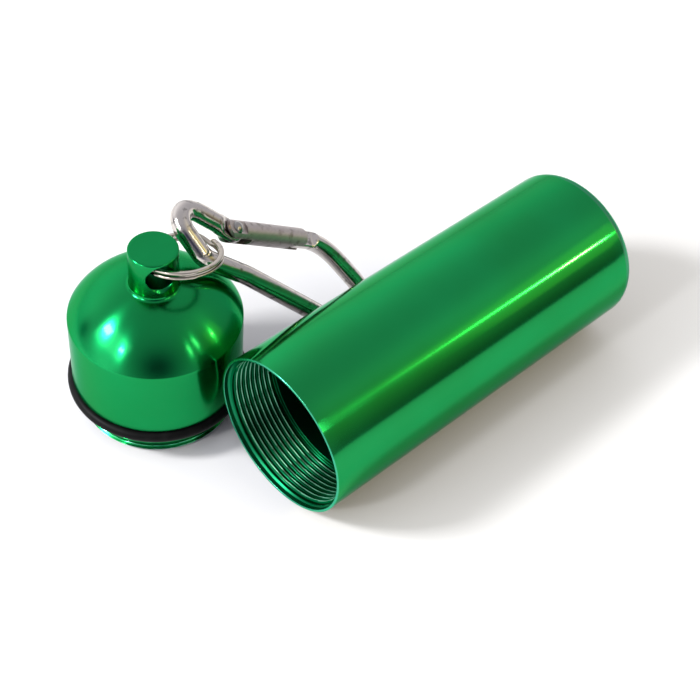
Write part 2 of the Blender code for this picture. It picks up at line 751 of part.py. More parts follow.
def build_rivet(parent, matrix, material):
    """The rivet with a domed head on each cheek of the fork."""
    seat = SLEEVE_FLAT + RIVET_GAP
    dome_radius = (RIVET_HEAD_RADIUS ** 2 + RIVET_HEAD_HEIGHT ** 2) / (2 * RIVET_HEAD_HEIGHT)
    spread = math.degrees(math.asin(RIVET_HEAD_RADIUS / dome_radius))
    centre = seat + RIVET_HEAD_HEIGHT - dome_radius
    upper = arc((0, centre), dome_radius, 90 - spread, 90, 4)
    upper[-1] = (0, seat + RIVET_HEAD_HEIGHT)
    lower = [(radius, -height) for radius, height in reversed(upper)]
    profile = lower + [(RIVET_RADIUS, -seat), (RIVET_RADIUS, seat)] + upper
    item = make_object("gate_rivet", turned_mesh("gate_rivet", profile, SMALL_SIDES), material)
    attach(item, parent, matrix)
    return item


def build_plunger(parent, matrix, material):
    """The plunger that bears on the tongue, with a stem inside the spring."""
    head_end = PLUNGER_START + PLUNGER_HEAD_LENGTH
    stem_end = head_end + PLUNGER_STEM_LENGTH
    tip = PLUNGER_RADIUS / 2
    profile = [(0, PLUNGER_START), (PLUNGER_RADIUS - tip, PLUNGER_START)]
    profile += arc((PLUNGER_RADIUS - tip, PLUNGER_START + tip), tip, -90, 0, 4)[1:]
    profile += [(PLUNGER_RADIUS, head_end), (PLUNGER_STEM_RADIUS, head_end)]
    profile += [(PLUNGER_STEM_RADIUS, stem_end), (0, stem_end)]
    mesh = turned_mesh("gate_plunger", profile, SMALL_SIDES)
    mesh.transform(Matrix.Rotation(math.radians(90), 4, "Y"))
    item = make_object("gate_plunger", mesh, material)
    attach(item, parent, matrix)
    return item


def build_spring(parent, matrix, material):
    """The coil spring between the plunger and the end of its bore."""
    radius = PLUNGER_RADIUS - SPRING_WIRE_RADIUS
    first = SPRING_START + SPRING_WIRE_RADIUS
    length = SPRING_END - SPRING_WIRE_RADIUS - first
    steps = SPRING_TURNS * SPRING_LOOP_POINTS
    path = []
    for index in range(steps + 1):
        angle = math.tau * index / SPRING_LOOP_POINTS
        height = first + length * index / steps
        path.append(Vector((radius * math.cos(angle), radius * math.sin(angle), height)))
    sections = coil_sections(path, SPRING_WIRE_RADIUS, SPRING_WIRE_RADIUS, 2)
    mesh = lofted_mesh("gate_spring", sections)
    mesh.transform(Matrix.Rotation(math.radians(90), 4, "Y"))
    item = make_object("gate_spring", mesh, material, 60.0)
    attach(item, parent, matrix)
    gap = least_self_gap(path, 2 * SPRING_WIRE_RADIUS, SPRING_LOOP_POINTS // 2)
    print("gate spring least gap, mm:", round(gap / MM, 3))
    return item


# Assembly


def centre_on_floor(root):
    """Move the whole so that the middle of its box's underside is the origin."""
    bpy.context.view_layer.update()
    graph = bpy.context.evaluated_depsgraph_get()
    corners = []
    for item in bpy.data.objects:
        if item.type != "MESH" or item.hide_render:
            continue
        mesh = item.evaluated_get(graph).data
        place = world_matrix(item)
        corners += [place @ vertex.co for vertex in mesh.vertices]
    low = [min(corner[axis] for corner in corners) for axis in range(3)]
    high = [max(corner[axis] for corner in corners) for axis in range(3)]
    root.location = (-(low[0] + high[0]) / 2, -(low[1] + high[1]) / 2, -low[2])


def main():
    """Build the capsule."""
    clear_scene()
    green = make_material("green_anodised", (0.0, 0.27, 0.09), 1.0, 0.18)
    rubber = make_material("black_rubber", (0.012, 0.012, 0.012), 0.0, 0.55)
    nickel = make_material("nickel_plate", (0.66, 0.63, 0.58), 1.0, 0.12)
    satin = make_material("satin_steel", (0.33, 0.33, 0.31), 1.0, 0.38)
    steel = make_material("spring_steel", (0.45, 0.45, 0.44), 1.0, 0.3)

    root = make_empty("capsule", None, Matrix.Identity(4))
    build_tube(root, green)

    carry_axis = make_empty("carry_axis", root, carry_axis_matrix())
    build_seal(carry_axis, rubber)
    cap_axis = make_empty("cap_axis", carry_axis, Matrix.Translation(cap_place()))
    build_cap(cap_axis, green)

    hole_axis = make_empty("hole_axis", cap_axis, ring_swing_matrix())
    build_ring(hole_axis, nickel)

    hang_axis = make_empty("hang_axis", hole_axis, hook_swing_matrix())
    build_hook(hang_axis, nickel)

    gate_matrix = hook_frame() @ pivot_matrix()
    gate_axis = make_empty("gate_axis", hang_axis, gate_matrix)
    build_sleeve(gate_axis, gate_matrix, satin)
    build_rivet(hang_axis, gate_matrix, nickel)
    build_plunger(gate_axis, gate_matrix, steel)
    build_spring(gate_axis, gate_matrix, steel)
    centre_on_floor(root)


main()
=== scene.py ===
"""Looks of the open waterproof capsule: turned shells, thread, seal, rings, hook and studio."""

from __future__ import annotations

import logging
import math
from collections.abc import Sequence
from dataclasses import dataclass
from enum import Enum
from functools import partial

import bpy
import numpy as np
from mathutils import Matrix, Vector


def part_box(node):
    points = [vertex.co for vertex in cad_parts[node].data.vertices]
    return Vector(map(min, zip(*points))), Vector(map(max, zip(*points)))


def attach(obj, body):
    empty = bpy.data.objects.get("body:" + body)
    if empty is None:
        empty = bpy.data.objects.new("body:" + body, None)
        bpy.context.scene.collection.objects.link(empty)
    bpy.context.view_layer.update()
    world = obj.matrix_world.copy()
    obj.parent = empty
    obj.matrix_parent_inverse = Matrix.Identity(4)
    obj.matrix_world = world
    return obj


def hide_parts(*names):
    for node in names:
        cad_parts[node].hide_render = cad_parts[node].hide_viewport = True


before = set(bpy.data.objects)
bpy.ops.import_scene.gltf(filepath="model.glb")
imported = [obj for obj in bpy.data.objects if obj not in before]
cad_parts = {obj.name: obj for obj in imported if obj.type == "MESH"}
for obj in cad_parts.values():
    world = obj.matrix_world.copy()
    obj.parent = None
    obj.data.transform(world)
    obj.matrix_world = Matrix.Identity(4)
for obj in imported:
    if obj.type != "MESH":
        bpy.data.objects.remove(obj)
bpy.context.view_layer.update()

LOG = logging.getLogger("capsule")
MM = 0.001
THREAD_PITCH = 1.1 * MM
THREAD_ROWS = 18
THREAD_FADE = 0.3
CREST_SHARE = 0.84
ORIGIN = (0.0, 0.0, 0.0)
ONES = (1.0, 1.0, 1.0)
Array = np.ndarray
Pair = tuple[float, float]
Triple = tuple[float, float, float]
Piece = bpy.types.Object
Socket = bpy.types.NodeSocket


class Body(Enum):
    """The moving bodies that pieces ride on."""

    TUBE = "tube_body"
    SEAL = "seal"
    CAP = "cap_body"
    RING = "ring"
    HOOK = "hook"
    GATE = "gate"


# Mesh helpers


def arc(centre: Pair, radius: float, start: float, end: float, steps: int) -> Array:
    """Points of an arc: centre plus radius times (cos, sin) of evenly spaced angles.

    Args:
        centre: Middle of the arc in its plane.
        radius: Radius of the arc.
        start: First angle in degrees.
        end: Last angle in degrees.
        steps: Number of spans between points.

    Returns:
        Array of (steps + 1, 2) points.
    """
    angle = np.radians(np.linspace(start, end, steps + 1))
    return np.stack([centre[0] + radius * np.cos(angle), centre[1] + radius * np.sin(angle)], axis=1)


def soften(corners: Array, radii: Sequence[float], steps: int) -> Array:
    """Round each corner of an open polyline with an arc that touches both its sides.

    The arc starts and ends at radius times tan(half the turn) from the corner, and its
    points come from turning the first radius vector about the arc's centre.

    Args:
        corners: Array of (n, 2) corners.
        radii: One radius for each corner, zero where it stays sharp.
        steps: Spans per arc.

    Returns:
        Array of (m, 2) points.
    """
    rows = [corners[:1]]
    for index in range(1, len(corners) - 1):
        here = corners[index]
        back = unit(corners[index - 1] - here)
        ahead = unit(corners[index + 1] - here)
        turn = math.pi - math.acos(float(np.clip(back @ ahead, -1, 1)))
        if radii[index] == 0 or turn < 0.01:
            rows.append(here[None])
            continue
        middle = unit(back + ahead)
        centre = here + middle * radii[index] / math.cos(turn / 2)
        first = here + back * radii[index] * math.tan(turn / 2) - centre
        sign = np.sign(back[0] * ahead[1] - back[1] * ahead[0])
        angle = np.linspace(0, -sign * turn, steps + 1)[:, None]
        side = np.array([-first[1], first[0]])
        rows.append(centre + np.cos(angle) * first + np.sin(angle) * side)
    rows.append(corners[-1:])
    return np.concatenate(rows)


def fill_spans(points: Array, longest: float) -> Array:
    """Add evenly spaced points to every span that is longer than a limit.

    Args:
        points: Array of (n, 2) points.
        longest: Length up to which a span stays whole.

    Returns:
        Array of (m, 2) points.
    """
    rows = []
    for start, end in zip(points, points[1:]):
        count = max(int(math.ceil(float(np.linalg.norm(end - start)) / longest)), 1)
        share = np.arange(count)[:, None] / count
        rows.append(start + (end - start) * share)
    rows.append(points[-1:])
    return np.concatenate(rows)


def add_object(name: str, data: bpy.types.ID) -> Piece:
    """Make an object from its data and link it to the scene.

    Args:
        name: Name of the object.
        data: Its mesh, light or camera.

    Returns:
        The new object, at the origin.
    """
    item = bpy.data.objects.new(name, data)
    bpy.context.scene.collection.objects.link(item)
    return item


def grid_object(name: str, grid: Array, wrap_rows: bool = False, poles: bool = False) -> Piece:
    """Make an object from a grid of points whose columns close round a ring.

    Face (i, j) joins points (i, j), (i, j + 1), (i + 1, j + 1) and (i + 1, j). With
    poles, the first and last rows are points that fans of triangles reach; without
    poles and without wrapped rows the two end rings are closed by one face each.

    Args:
        name: Name of the object.
        grid: Array of (rows, columns, 3) points in the row frame.
        wrap_rows: Whether the last row joins the first one.
        poles: Whether the end rows shrink to one point each.

    Returns:
        The new object, at the origin.
    """
    rows, columns = grid.shape[:2]
    number = np.arange(rows * columns).reshape(rows, columns)
    if poles:
        points = np.concatenate([grid[:1, 0], grid[1:-1].reshape(-1, 3), grid[-1:, 0]])
        number = np.arange((rows - 2) * columns).reshape(rows - 2, columns) + 1
    else:
        points = grid.reshape(-1, 3)
    upper = np.roll(number, -1, axis=0) if wrap_rows else number[1:]
    lower = number if wrap_rows else number[:-1]
    quads = np.stack([lower, np.roll(lower, -1, axis=1), np.roll(upper, -1, axis=1), upper], axis=-1)
    faces = quads.reshape(-1, 4).tolist()
    if poles:
        last = len(points) - 1
        first_ring, last_ring = number[0], number[-1]
        faces += np.stack([np.zeros(columns, int), np.roll(first_ring, -1), first_ring], axis=1).tolist()
        faces += np.stack([np.full(columns, last), last_ring, np.roll(last_ring, -1)], axis=1).tolist()
    elif not wrap_rows:
        faces += [number[0][::-1].tolist(), number[-1].tolist()]
    mesh = bpy.data.meshes.new(name)
    mesh.from_pydata(points, [], faces)
    mesh.validate()
    piece = add_object(name, mesh)
    face_outwards(piece)
    return piece


def paint_faces(piece: Piece, finish: Array, first_row: int) -> None:
    """Give the faces of some rows of a grid with poles their own material numbers.

    Args:
        piece: Object made from a grid with poles.
        finish: Array of (rows, columns) material numbers.
        first_row: Grid row at which the first of these rows of faces starts.
    """
    numbers = np.zeros(len(piece.data.polygons), dtype=np.int32)
    start = (first_row - 1) * finish.shape[1]
    numbers[start:start + finish.size] = finish.ravel()
    piece.data.polygons.foreach_set("material_index", numbers)


def face_outwards(piece: Piece) -> None:
    """Turn every face outwards when the closed mesh has a negative volume.

    The volume is the sum over triangles of a . (b x c) / 6.

    Args:
        piece: Object with a closed mesh.
    """
    mesh = piece.data
    mesh.calc_loop_triangles()
    points = np.empty(len(mesh.vertices) * 3)
    mesh.vertices.foreach_get("co", points)
    corners = np.empty(len(mesh.loop_triangles) * 3, dtype=np.int32)
    mesh.loop_triangles.foreach_get("vertices", corners)
    triangle = points.reshape(-1, 3)[corners.reshape(-1, 3)]
    volume = np.einsum("ij,ij->i", triangle[:, 0], np.cross(triangle[:, 1], triangle[:, 2])).sum()
    if volume < 0:
        mesh.flip_normals()


def smooth(piece: Piece, angle: float) -> None:
    """Shade a piece smooth, with edges sharper than an angle left crisp."""
    piece.data.shade_smooth()
    piece.data.set_sharp_from_angle(angle=math.radians(angle))


def all_round(rows: Array, columns: int) -> Array:
    """Repeat each row of a profile at every column round an axis."""
    return np.repeat(rows[:, None], columns, axis=1)


def turn_profile(profile: Array, columns: int, frame_matrix: Matrix) -> Array:
    """Carry a (radius, height) profile round an axis.

    Point (i, j) is frame times (radius i cos a j, radius i sin a j, height i), where
    radius and height may also differ by column.

    Args:
        profile: Array of (rows, 2), or (rows, columns, 2).
        columns: Points round the axis.
        frame_matrix: Matrix whose Z is the axis.

    Returns:
        Array of (rows, columns, 3) points.
    """
    if profile.ndim == 2:
        profile = all_round(profile, columns)
    angle = np.arange(columns) * math.tau / columns
    radius, height = profile[..., 0], profile[..., 1]
    local = np.stack([radius * np.cos(angle), radius * np.sin(angle), height], axis=-1)
    return place_points(local, frame_matrix)


def turned_solid(name: str, profile: Array, columns: int, frame_matrix: Matrix) -> Piece:
    """Make an object by turning a profile whose two ends lie on the axis."""
    return grid_object(name, turn_profile(profile, columns, frame_matrix), poles=True)


def place_points(points: Array, matrix: Matrix) -> Array:
    """Multiply an array of points by a matrix."""
    values = np.array(matrix)
    return points @ values[:3, :3].T + values[:3, 3]


def sweep(
    path: Array, side: Array, up: Array, half_side: Array, half_up: Array, power: Array, columns: int
) -> Array:
    """Carry an oval section along a path.

    The section's point at angle a is side times half_side times |cos a|^(2/power) plus
    up times half_up times |sin a|^(2/power), each with the sign of its cosine or sine.

    Args:
        path: Array of (n, 3) middle points.
        side: Array of (n, 3) directions across the path.
        up: Array of (n, 3) directions across the path, square to side.
        half_side: Array of n half widths along side.
        half_up: Array of n half widths along up.
        power: Array of n powers, 2 for an ellipse and more for a squarer oval.
        columns: Points round the section.

    Returns:
        Array of (n, columns, 3) points.
    """
    angle = (np.arange(columns) + 0.5) * math.tau / columns
    share = (2 / power)[:, None]
    along = np.sign(np.cos(angle)) * np.abs(np.cos(angle)) ** share * half_side[:, None]
    across = np.sign(np.sin(angle)) * np.abs(np.sin(angle)) ** share * half_up[:, None]
    return path[:, None] + along[..., None] * side[:, None] + across[..., None] * up[:, None]


def eased(share: Array) -> Array:
    """Smooth step 3s^2 - 2s^3 of a share s that is held between 0 and 1."""
    share = np.clip(share, 0, 1)
    return share * share * (3 - 2 * share)


def unit(vectors: Array) -> Array:
    """Divide each vector by its length."""
    return vectors / np.linalg.norm(vectors, axis=-1, keepdims=True)


def direction_of(azimuth: float, height: float = 0.0) -> Vector:
    """Unit vector towards a bearing from +X and a height above the floor, in degrees."""
    bearing, rise = math.radians(azimuth), math.radians(height)
    return Vector((math.cos(rise) * math.cos(bearing), math.cos(rise) * math.sin(bearing), math.sin(rise)))


def cut(piece: Piece, cutter: Piece, operation: str = "DIFFERENCE") -> None:
    """Apply an exact Boolean of one object to another and remove the cutter.

    Args:
        piece: Object that is cut.
        cutter: Closed object that goes afterwards.
        operation: Name of the Boolean's operation.
    """
    modifier = piece.modifiers.new("cut", "BOOLEAN")
    modifier.operation = operation
    modifier.solver = "EXACT"
    modifier.object = cutter
    graph = bpy.context.evaluated_depsgraph_get()
    result = bpy.data.meshes.new_from_object(piece.evaluated_get(graph))
    old = piece.data
    piece.modifiers.clear()
    piece.data = result
    bpy.data.meshes.remove(old)
    spare = cutter.data
    bpy.data.objects.remove(cutter, do_unlink=True)
    bpy.data.meshes.remove(spare)
    result.name = piece.name


def dress(piece: Piece, body: Body, finish: "Finish", slot: str, *others: "Finish") -> None:
    """Give a new piece its finishes and its body.

    Args:
        piece: The new piece.
        body: Moving body that it rides on.
        finish: Finish of the faces with material number 0.
        slot: Not used.
        others: Finishes of the material numbers from 1 on.
    """
    for each in (finish, *others):
        piece.data.materials.append(each.material())
    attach(piece, body.value)


# Finishes


class Nodes:
    """A short way to add and join shader nodes in one material or world."""

    def __init__(self, owner: bpy.types.Material | bpy.types.World) -> None:
        """Start with the owner's output and its Principled or Background shader.

        Args:
            owner: Material or world whose nodes are built.
        """
        owner.use_nodes = True
        self.owner = owner
        self.tree = owner.node_tree
        name = "Background" if isinstance(owner, bpy.types.World) else "Principled BSDF"
        self.shader = self.tree.nodes[name]

    def add(
        self, kind: str, inputs: dict[str | int, object] | None = None, **settings: object
    ) -> bpy.types.Node:
        """Add a node, set its options, and set or join its inputs.

        Args:
            kind: Node type without the ShaderNode prefix.
            inputs: Values or output sockets for the node's inputs.
            settings: Attributes of the node.

        Returns:
            The new node.
        """
        node = self.tree.nodes.new("ShaderNode" + kind)
        for name, value in settings.items():
            setattr(node, name, value)
        for name, value in (inputs or {}).items():
            self.put(node.inputs[name], value)
        return node

    def put(self, socket: Socket, value: object) -> None:
        """Join an output to a socket, or set the socket's value.

        Args:
            socket: Input of a node.
            value: Output socket, or the input's own value.
        """
        if isinstance(value, Socket):
            self.tree.links.new(value, socket)
        else:
            socket.default_value = value

    def object_point(self, centre: Triple = ORIGIN, turn: Triple = ORIGIN, scale: Triple = ONES) -> Socket:
        """Object coordinates moved to a centre, turned and scaled.

        Args:
            centre: Point that becomes the origin.
            turn: Euler angles in radians.
            scale: Scale along the turned axes.

        Returns:
            The vector socket.
        """
        coordinates = self.add("TexCoord")
        moved = self.add("VectorMath", {0: coordinates.outputs["Object"], 1: centre}, operation="SUBTRACT")
        mapping = self.add("Mapping", {"Vector": moved.outputs["Vector"], "Rotation": turn, "Scale": scale})
        return mapping.outputs["Vector"]

    def noise(self, vector: Socket, scale: float, detail: float) -> Socket:
        """Noise of a vector, from 0 to 1."""
        node = self.add("TexNoise", {"Vector": vector, "Scale": scale, "Detail": detail})
        return node.outputs["Fac"]

    def ramp(self, value: Socket, low: float, high: float) -> Socket:
        """Map a value onto black up to a low place and white from a high place.

        Args:
            value: Socket with a value from 0 to 1.
            low: Value up to which the colour is black.
            high: Value from which the colour is white.

        Returns:
            The colour socket.
        """
        node = self.add("ValToRGB", {"Fac": value})
        for element, place, grey in zip(node.color_ramp.elements, (low, high), (0.0, 1.0)):
            element.position = place
            element.color = (grey, grey, grey, 1.0)
        return node.outputs["Color"]

    def mix(self, share: object, first: object, second: object) -> Socket:
        """Blend two colours.

        Args:
            share: Share of the second colour.
            first: Colour or socket at a share of 0.
            second: Colour or socket at a share of 1.

        Returns:
            The colour socket.
        """
        node = self.add("Mix", data_type="RGBA")
        self.put(node.inputs["Factor"], share)
        self.put(node.inputs["A"], first)
        self.put(node.inputs["B"], second)
        return node.outputs["Result"]

    def blend_value(self, value: Socket, low: float, high: float) -> Socket:
        """Map 0 to 1 onto low to high."""
        node = self.add("MapRange", {"Value": value, "To Min": low, "To Max": high})
        return node.outputs["Result"]

    def bump(self, height: Socket, distance: float, strength: float, normal: Socket | None = None) -> Socket:
        """Tilt the normal by a height that is measured in metres.

        Args:
            height: Socket with a value from 0 to 1.
            distance: Height in metres that a value of 1 stands for.
            strength: Share of the tilt that is kept.
            normal: Normal to start from, if not the surface's own.

        Returns:
            The normal socket.
        """
        node = self.add("Bump", {"Height": height, "Distance": distance, "Strength": strength})
        if normal is not None:
            self.put(node.inputs["Normal"], normal)
        return node.outputs["Normal"]

    def set(self, **values: object) -> None:
        """Set or join the shader's inputs; spaces are written as underscores."""
        for name, value in values.items():
            self.put(self.shader.inputs[name.replace("_", " ")], value)


class Finish:
    """A finish that makes its material once, under its own name."""

    name: str

    def material(self) -> bpy.types.Material:
        """Paint the finish's material the first time it is asked for.

        Returns:
            The one material of this name.
        """
        known = bpy.data.materials.get(self.name)
        if known:
            return known
        nodes = Nodes(bpy.data.materials.new(self.name))
        self.paint(nodes)
        return nodes.owner

    def paint(self, nodes: Nodes) -> None:
        """Add the finish's shader nodes and set the shader."""
        raise NotImplementedError


@dataclass(frozen=True)
class AnodisedGreen(Finish):
    """Dyed, polished aluminium with faint turning lines round an axis."""

    name: str
    centre: Triple
    turn: Triple
    axis: str
    colour: Triple
    roughness: float = 0.2
    grooves: float = 0.2
    clear: float = 0.3

    def paint(self, nodes: Nodes) -> None:
        """Green metal under a clear layer; lines follow the turning tool.

        Args:
            nodes: Nodes of the new material.
        """
        along_axis = (6.0, 6.0, 2600.0)
        lines = nodes.noise(nodes.object_point(self.centre, self.turn, along_axis), 1.0, 2.0)
        point = nodes.object_point(self.centre, self.turn)
        cloud, specks = nodes.noise(point, 45.0, 3.0), nodes.noise(point, 2400.0, 2.0)
        red, green, blue = self.colour
        deep = (red, green * 0.93, blue * 0.9, 1.0)
        light = (red, green * 1.05, blue * 1.1, 1.0)
        tint = nodes.mix(nodes.ramp(cloud, 0.35, 0.65), deep, light)
        wear = nodes.blend_value(cloud, self.roughness - 0.02, self.roughness + 0.03)
        fine = nodes.bump(lines, 0.0012 * MM, 0.5)
        grain = nodes.bump(specks, 0.0006 * MM, 0.35, fine)
        nodes.set(Base_Color=tint, Metallic=1.0, Roughness=wear, Normal=grain)
        around = nodes.add("Tangent", direction_type="RADIAL", axis=self.axis).outputs["Tangent"]
        nodes.set(Anisotropic=self.grooves, Anisotropic_Rotation=0.25, Tangent=around)
        nodes.set(Coat_Weight=self.clear, Coat_Roughness=0.08, Coat_IOR=1.5)
        nodes.set(Specular_Tint=(0.3, 0.7, 0.48, 1.0))


@dataclass(frozen=True)
class NickelPlate(Finish):
    """Bright nickel on steel, with faint waviness and handling marks."""

    name: str
    roughness: float
    colour: Triple = (0.52, 0.48, 0.45)

    def paint(self, nodes: Nodes) -> None:
        """Warm white metal; the roughness drifts and fine scratches cross it.

        Args:
            nodes: Nodes of the new material.
        """
        point = nodes.object_point()
        wave = nodes.noise(point, 160.0, 2.0)
        smear = nodes.noise(point, 700.0, 4.0)
        crossing = nodes.object_point(turn=(0.5, 0.3, 0.8), scale=(300.0, 9000.0, 2000.0))
        scratch = nodes.noise(crossing, 1.0, 2.0)
        dark, plain, light = ((*(share * value for value in self.colour), 1.0) for share in (0.45, 1.0, 1.18))
        tint = nodes.mix(nodes.ramp(smear, 0.56, 0.68), nodes.mix(wave, plain, light), dark)
        rough = nodes.blend_value(nodes.ramp(smear, 0.4, 0.75), self.roughness, self.roughness + 0.14)
        soft = nodes.bump(wave, 0.03 * MM, 0.25)
        lines = nodes.bump(scratch, 0.001 * MM, 0.4, soft)
        nodes.set(Base_Color=tint, Metallic=1.0, Roughness=rough, Normal=lines)


@dataclass(frozen=True)
class SatinSteel(Finish):
    """Dull plated sleeve with drawing lines along its length."""

    name: str
    centre: Triple
    turn: Triple

    def paint(self, nodes: Nodes) -> None:
        """Grey metal with long streaks and dark specks.

        Args:
            nodes: Nodes of the new material.
        """
        along_sleeve = (60.0, 2600.0, 2600.0)
        streak = nodes.noise(nodes.object_point(self.centre, self.turn, along_sleeve), 1.0, 3.0)
        patch = nodes.noise(nodes.object_point(self.centre, self.turn), 520.0, 4.0)
        shade = nodes.mix(streak, (0.36, 0.32, 0.31, 1.0), (0.5, 0.45, 0.45, 1.0))
        tint = nodes.mix(nodes.ramp(patch, 0.55, 0.72), shade, (0.2, 0.18, 0.16, 1.0))
        rough = nodes.blend_value(patch, 0.34, 0.52)
        lines = nodes.bump(streak, 0.006 * MM, 0.5)
        nodes.set(Base_Color=tint, Metallic=1.0, Roughness=rough, Normal=lines)


@dataclass(frozen=True)
class BlackRubber(Finish):
    """Moulded black rubber with a soft sheen."""

    name: str = "seal_rubber"

    def paint(self, nodes: Nodes) -> None:
        """Near-black with a fine mottled skin.

        Args:
            nodes: Nodes of the new material.
        """
        point = nodes.object_point()
        grain = nodes.noise(point, 2600.0, 3.0)
        dust = nodes.noise(point, 380.0, 4.0)
        clean, dusty = (0.003, 0.003, 0.0032, 1.0), (0.008, 0.008, 0.0078, 1.0)
        tint = nodes.mix(nodes.ramp(dust, 0.5, 0.8), clean, dusty)
        rough = nodes.blend_value(dust, 0.38, 0.56)
        nodes.set(Base_Color=tint, Roughness=rough, Normal=nodes.bump(grain, 0.01 * MM, 0.4))
        nodes.set(Specular_IOR_Level=0.1)


@dataclass(frozen=True)
class SpringWire(Finish):
    """Drawn steel wire of the small inner pieces."""

    name: str = "drawn_wire"

    def paint(self, nodes: Nodes) -> None:
        """Grey metal with a slightly uneven gloss.

        Args:
            nodes: Nodes of the new material.
        """
        point = nodes.object_point()
        patch = nodes.noise(point, 900.0, 3.0)
        tint = nodes.mix(patch, (0.38, 0.37, 0.35, 1.0), (0.52, 0.51, 0.49, 1.0))
        nodes.set(Base_Color=tint, Metallic=1.0, Roughness=nodes.blend_value(patch, 0.24, 0.4))


# Turned shells


def thread_ridge(turns: Array) -> Array:
    """Height share of a rounded ridge, once per turn: ((1 + cos) / 2) to the power 3."""
    return ((1 + np.cos(turns * math.tau)) / 2) ** 3


@dataclass
class Tube:
    """The tube: its shell with rounded base, blind bore, thread and lead-in."""

    radius: float = 16.2 * MM
    length: float = 81.5 * MM
    base_round: float = 2.4 * MM
    wall: float = 1.6 * MM
    base: float = 2.0 * MM
    bore_round: float = 2.0 * MM
    lead_radius: float = 15.7 * MM
    lip_round: float = 0.12 * MM
    lead_round: float = 0.08 * MM
    lead_depth: float = 0.9 * MM
    thread_radius: float = 15.4 * MM
    thread_start: float = 1.2 * MM
    thread_end: float = 11.0 * MM
    thread_height: float = 0.5 * MM
    relief_end: float = 11.3 * MM
    relief_round: float = 0.2 * MM
    shoulder_round: float = 0.15 * MM
    longest_span: float = 3 * MM
    pitch: float = THREAD_PITCH
    columns: int = 192

    def place(self) -> Matrix:
        """Frame of the tube.

        Returns:
            Matrix whose Z runs along the tube from the middle of its mouth.
        """
        low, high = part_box("tube")
        middle = Vector((low[0], (low[1] + high[1]) / 2, (low[2] + high[2]) / 2))
        return Matrix.Translation(middle) @ Matrix.Rotation(math.radians(90), 4, "Y")

    def thread_rows(self) -> Array:
        """Inner wall with a ridge that climbs one pitch per turn.

        At depth x and angle a the radius is the thread radius less the ridge height
        times the ridge at (x / pitch - a / turn), faded over part of a pitch at both ends.

        Returns:
            Array of (rows, columns, 2) radii and depths.
        """
        depth = np.arange(self.thread_start, self.thread_end, self.pitch / THREAD_ROWS)[:, None]
        angle = np.arange(self.columns)[None] / self.columns
        fade_in = np.clip((depth - self.thread_start) / (THREAD_FADE * self.pitch), 0, 1)
        fade_out = np.clip((self.thread_end - depth) / (THREAD_FADE * self.pitch), 0, 1)
        height = self.thread_height * thread_ridge(depth / self.pitch - angle) * fade_in * fade_out
        return np.stack([self.thread_radius - height, np.broadcast_to(depth, height.shape)], axis=-1)

    def shell(self) -> Piece:
        """Turn the outer wall, mouth, thread and bore as one closed skin.

        Returns:
            The shell, with a material number for each face.
        """
        bore = self.radius - self.wall
        inside = self.length - self.base
        outer = np.array([(0, self.length), (self.radius, self.length), (self.radius, 0), (self.lead_radius, 0),
                          (self.lead_radius, self.lead_depth), (self.thread_radius, self.thread_start)])
        rounds = [0, self.base_round, self.lip_round, self.lip_round, self.lead_round, 0]
        outer = fill_spans(soften(outer, rounds, 7), self.longest_span)
        inner = np.array([(self.thread_radius, self.thread_end), (self.thread_radius, self.relief_end),
                          (bore, self.relief_end), (bore, inside), (0, inside)])
        rounds = [0, self.relief_round, self.shoulder_round, self.bore_round, 0]
        inner = fill_spans(soften(inner, rounds, 6), self.longest_span)
        thread = self.thread_rows()[1:]
        profile = np.concatenate([all_round(outer, self.columns), thread, all_round(inner, self.columns)])
        piece = turned_solid("tube_shell", profile, self.columns, self.place())
        # Crest faces get material 2, a paler green that is partly wear and partly a painted highlight along
        # each crest.
        crest = self.thread_radius - thread[..., 0] > CREST_SHARE * self.thread_height
        # The bore's faces get material 1, the darker green that paints shade inside the tube.
        bore_painted_shade = np.ones((len(inner) - 1, self.columns), int)
        paint_faces(piece, np.concatenate([self.outer_finish(outer), 1 + crest, bore_painted_shade]), 1)
        return piece

    def outer_finish(self, outer: Array) -> Array:
        """Material numbers of the outer skin's spans: base edge 4, lip 5, lead-in 3, rest 0.

        Args:
            outer: Array of (n, 2) radii and depths, from the base's middle.

        Returns:
            Array of (n - 2, columns) numbers, without the fan at the base's middle.
        """
        radius, depth = (outer[1:] + outer[:-1]).T / 2
        near = 1.01 * self.base_round
        edge = (depth > self.length - near) & (radius > self.radius - near)
        lip = depth < self.lip_round
        lead = (radius < 1.001 * self.lead_radius) & (depth < 2 * self.lead_depth)
        numbers = np.select([edge, lip, lead], [4, 5, 3], 0)
        return all_round(numbers[1:], self.columns)

    def build(self) -> list[Piece]:
        """Build and dress the tube's pieces.

        Returns:
            The new pieces.
        """
        shell = self.shell()
        smooth(shell, 40)
        middle = tuple(self.place().translation)
        turned = partial(AnodisedGreen, centre=middle, turn=(0.0, math.radians(-90), 0.0), axis="X")
        outside = turned("tube_anodised_green", colour=(0.007, 0.285, 0.07),
                         roughness=0.14, grooves=0.85, clear=0.17)
        # Painted shade: the bore and the thread's valleys get a much darker green than the outside.
        inside = turned("thread_anodised_green", colour=(0.003, 0.13, 0.045), roughness=0.3, clear=0.0)
        # Thread crests: paler green, partly wear and partly a painted highlight.
        crest = turned("thread_crest_worn", colour=(0.15, 0.46, 0.28), roughness=0.24)
        # Painted shade: the lead-in inside the mouth gets a darker green than the outside.
        lead = turned("lead_anodised_green", colour=(0.006, 0.2, 0.08), roughness=0.36, clear=0.1)
        # The rounded base edge gets a paler, greyer green than the rest of the outside.
        edge = turned("base_edge_worn", colour=(0.045, 0.28, 0.13), roughness=0.22)
        # Mouth rim: a bright pale green, partly wear and partly a painted highlight along the rim.
        lip = turned("lip_edge_worn", colour=(0.05, 0.46, 0.26), roughness=0.26)
        dress(shell, Body.TUBE, outside, "green_anodised", inside, crest, lead, edge, lip)
        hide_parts("tube")
        return [shell]


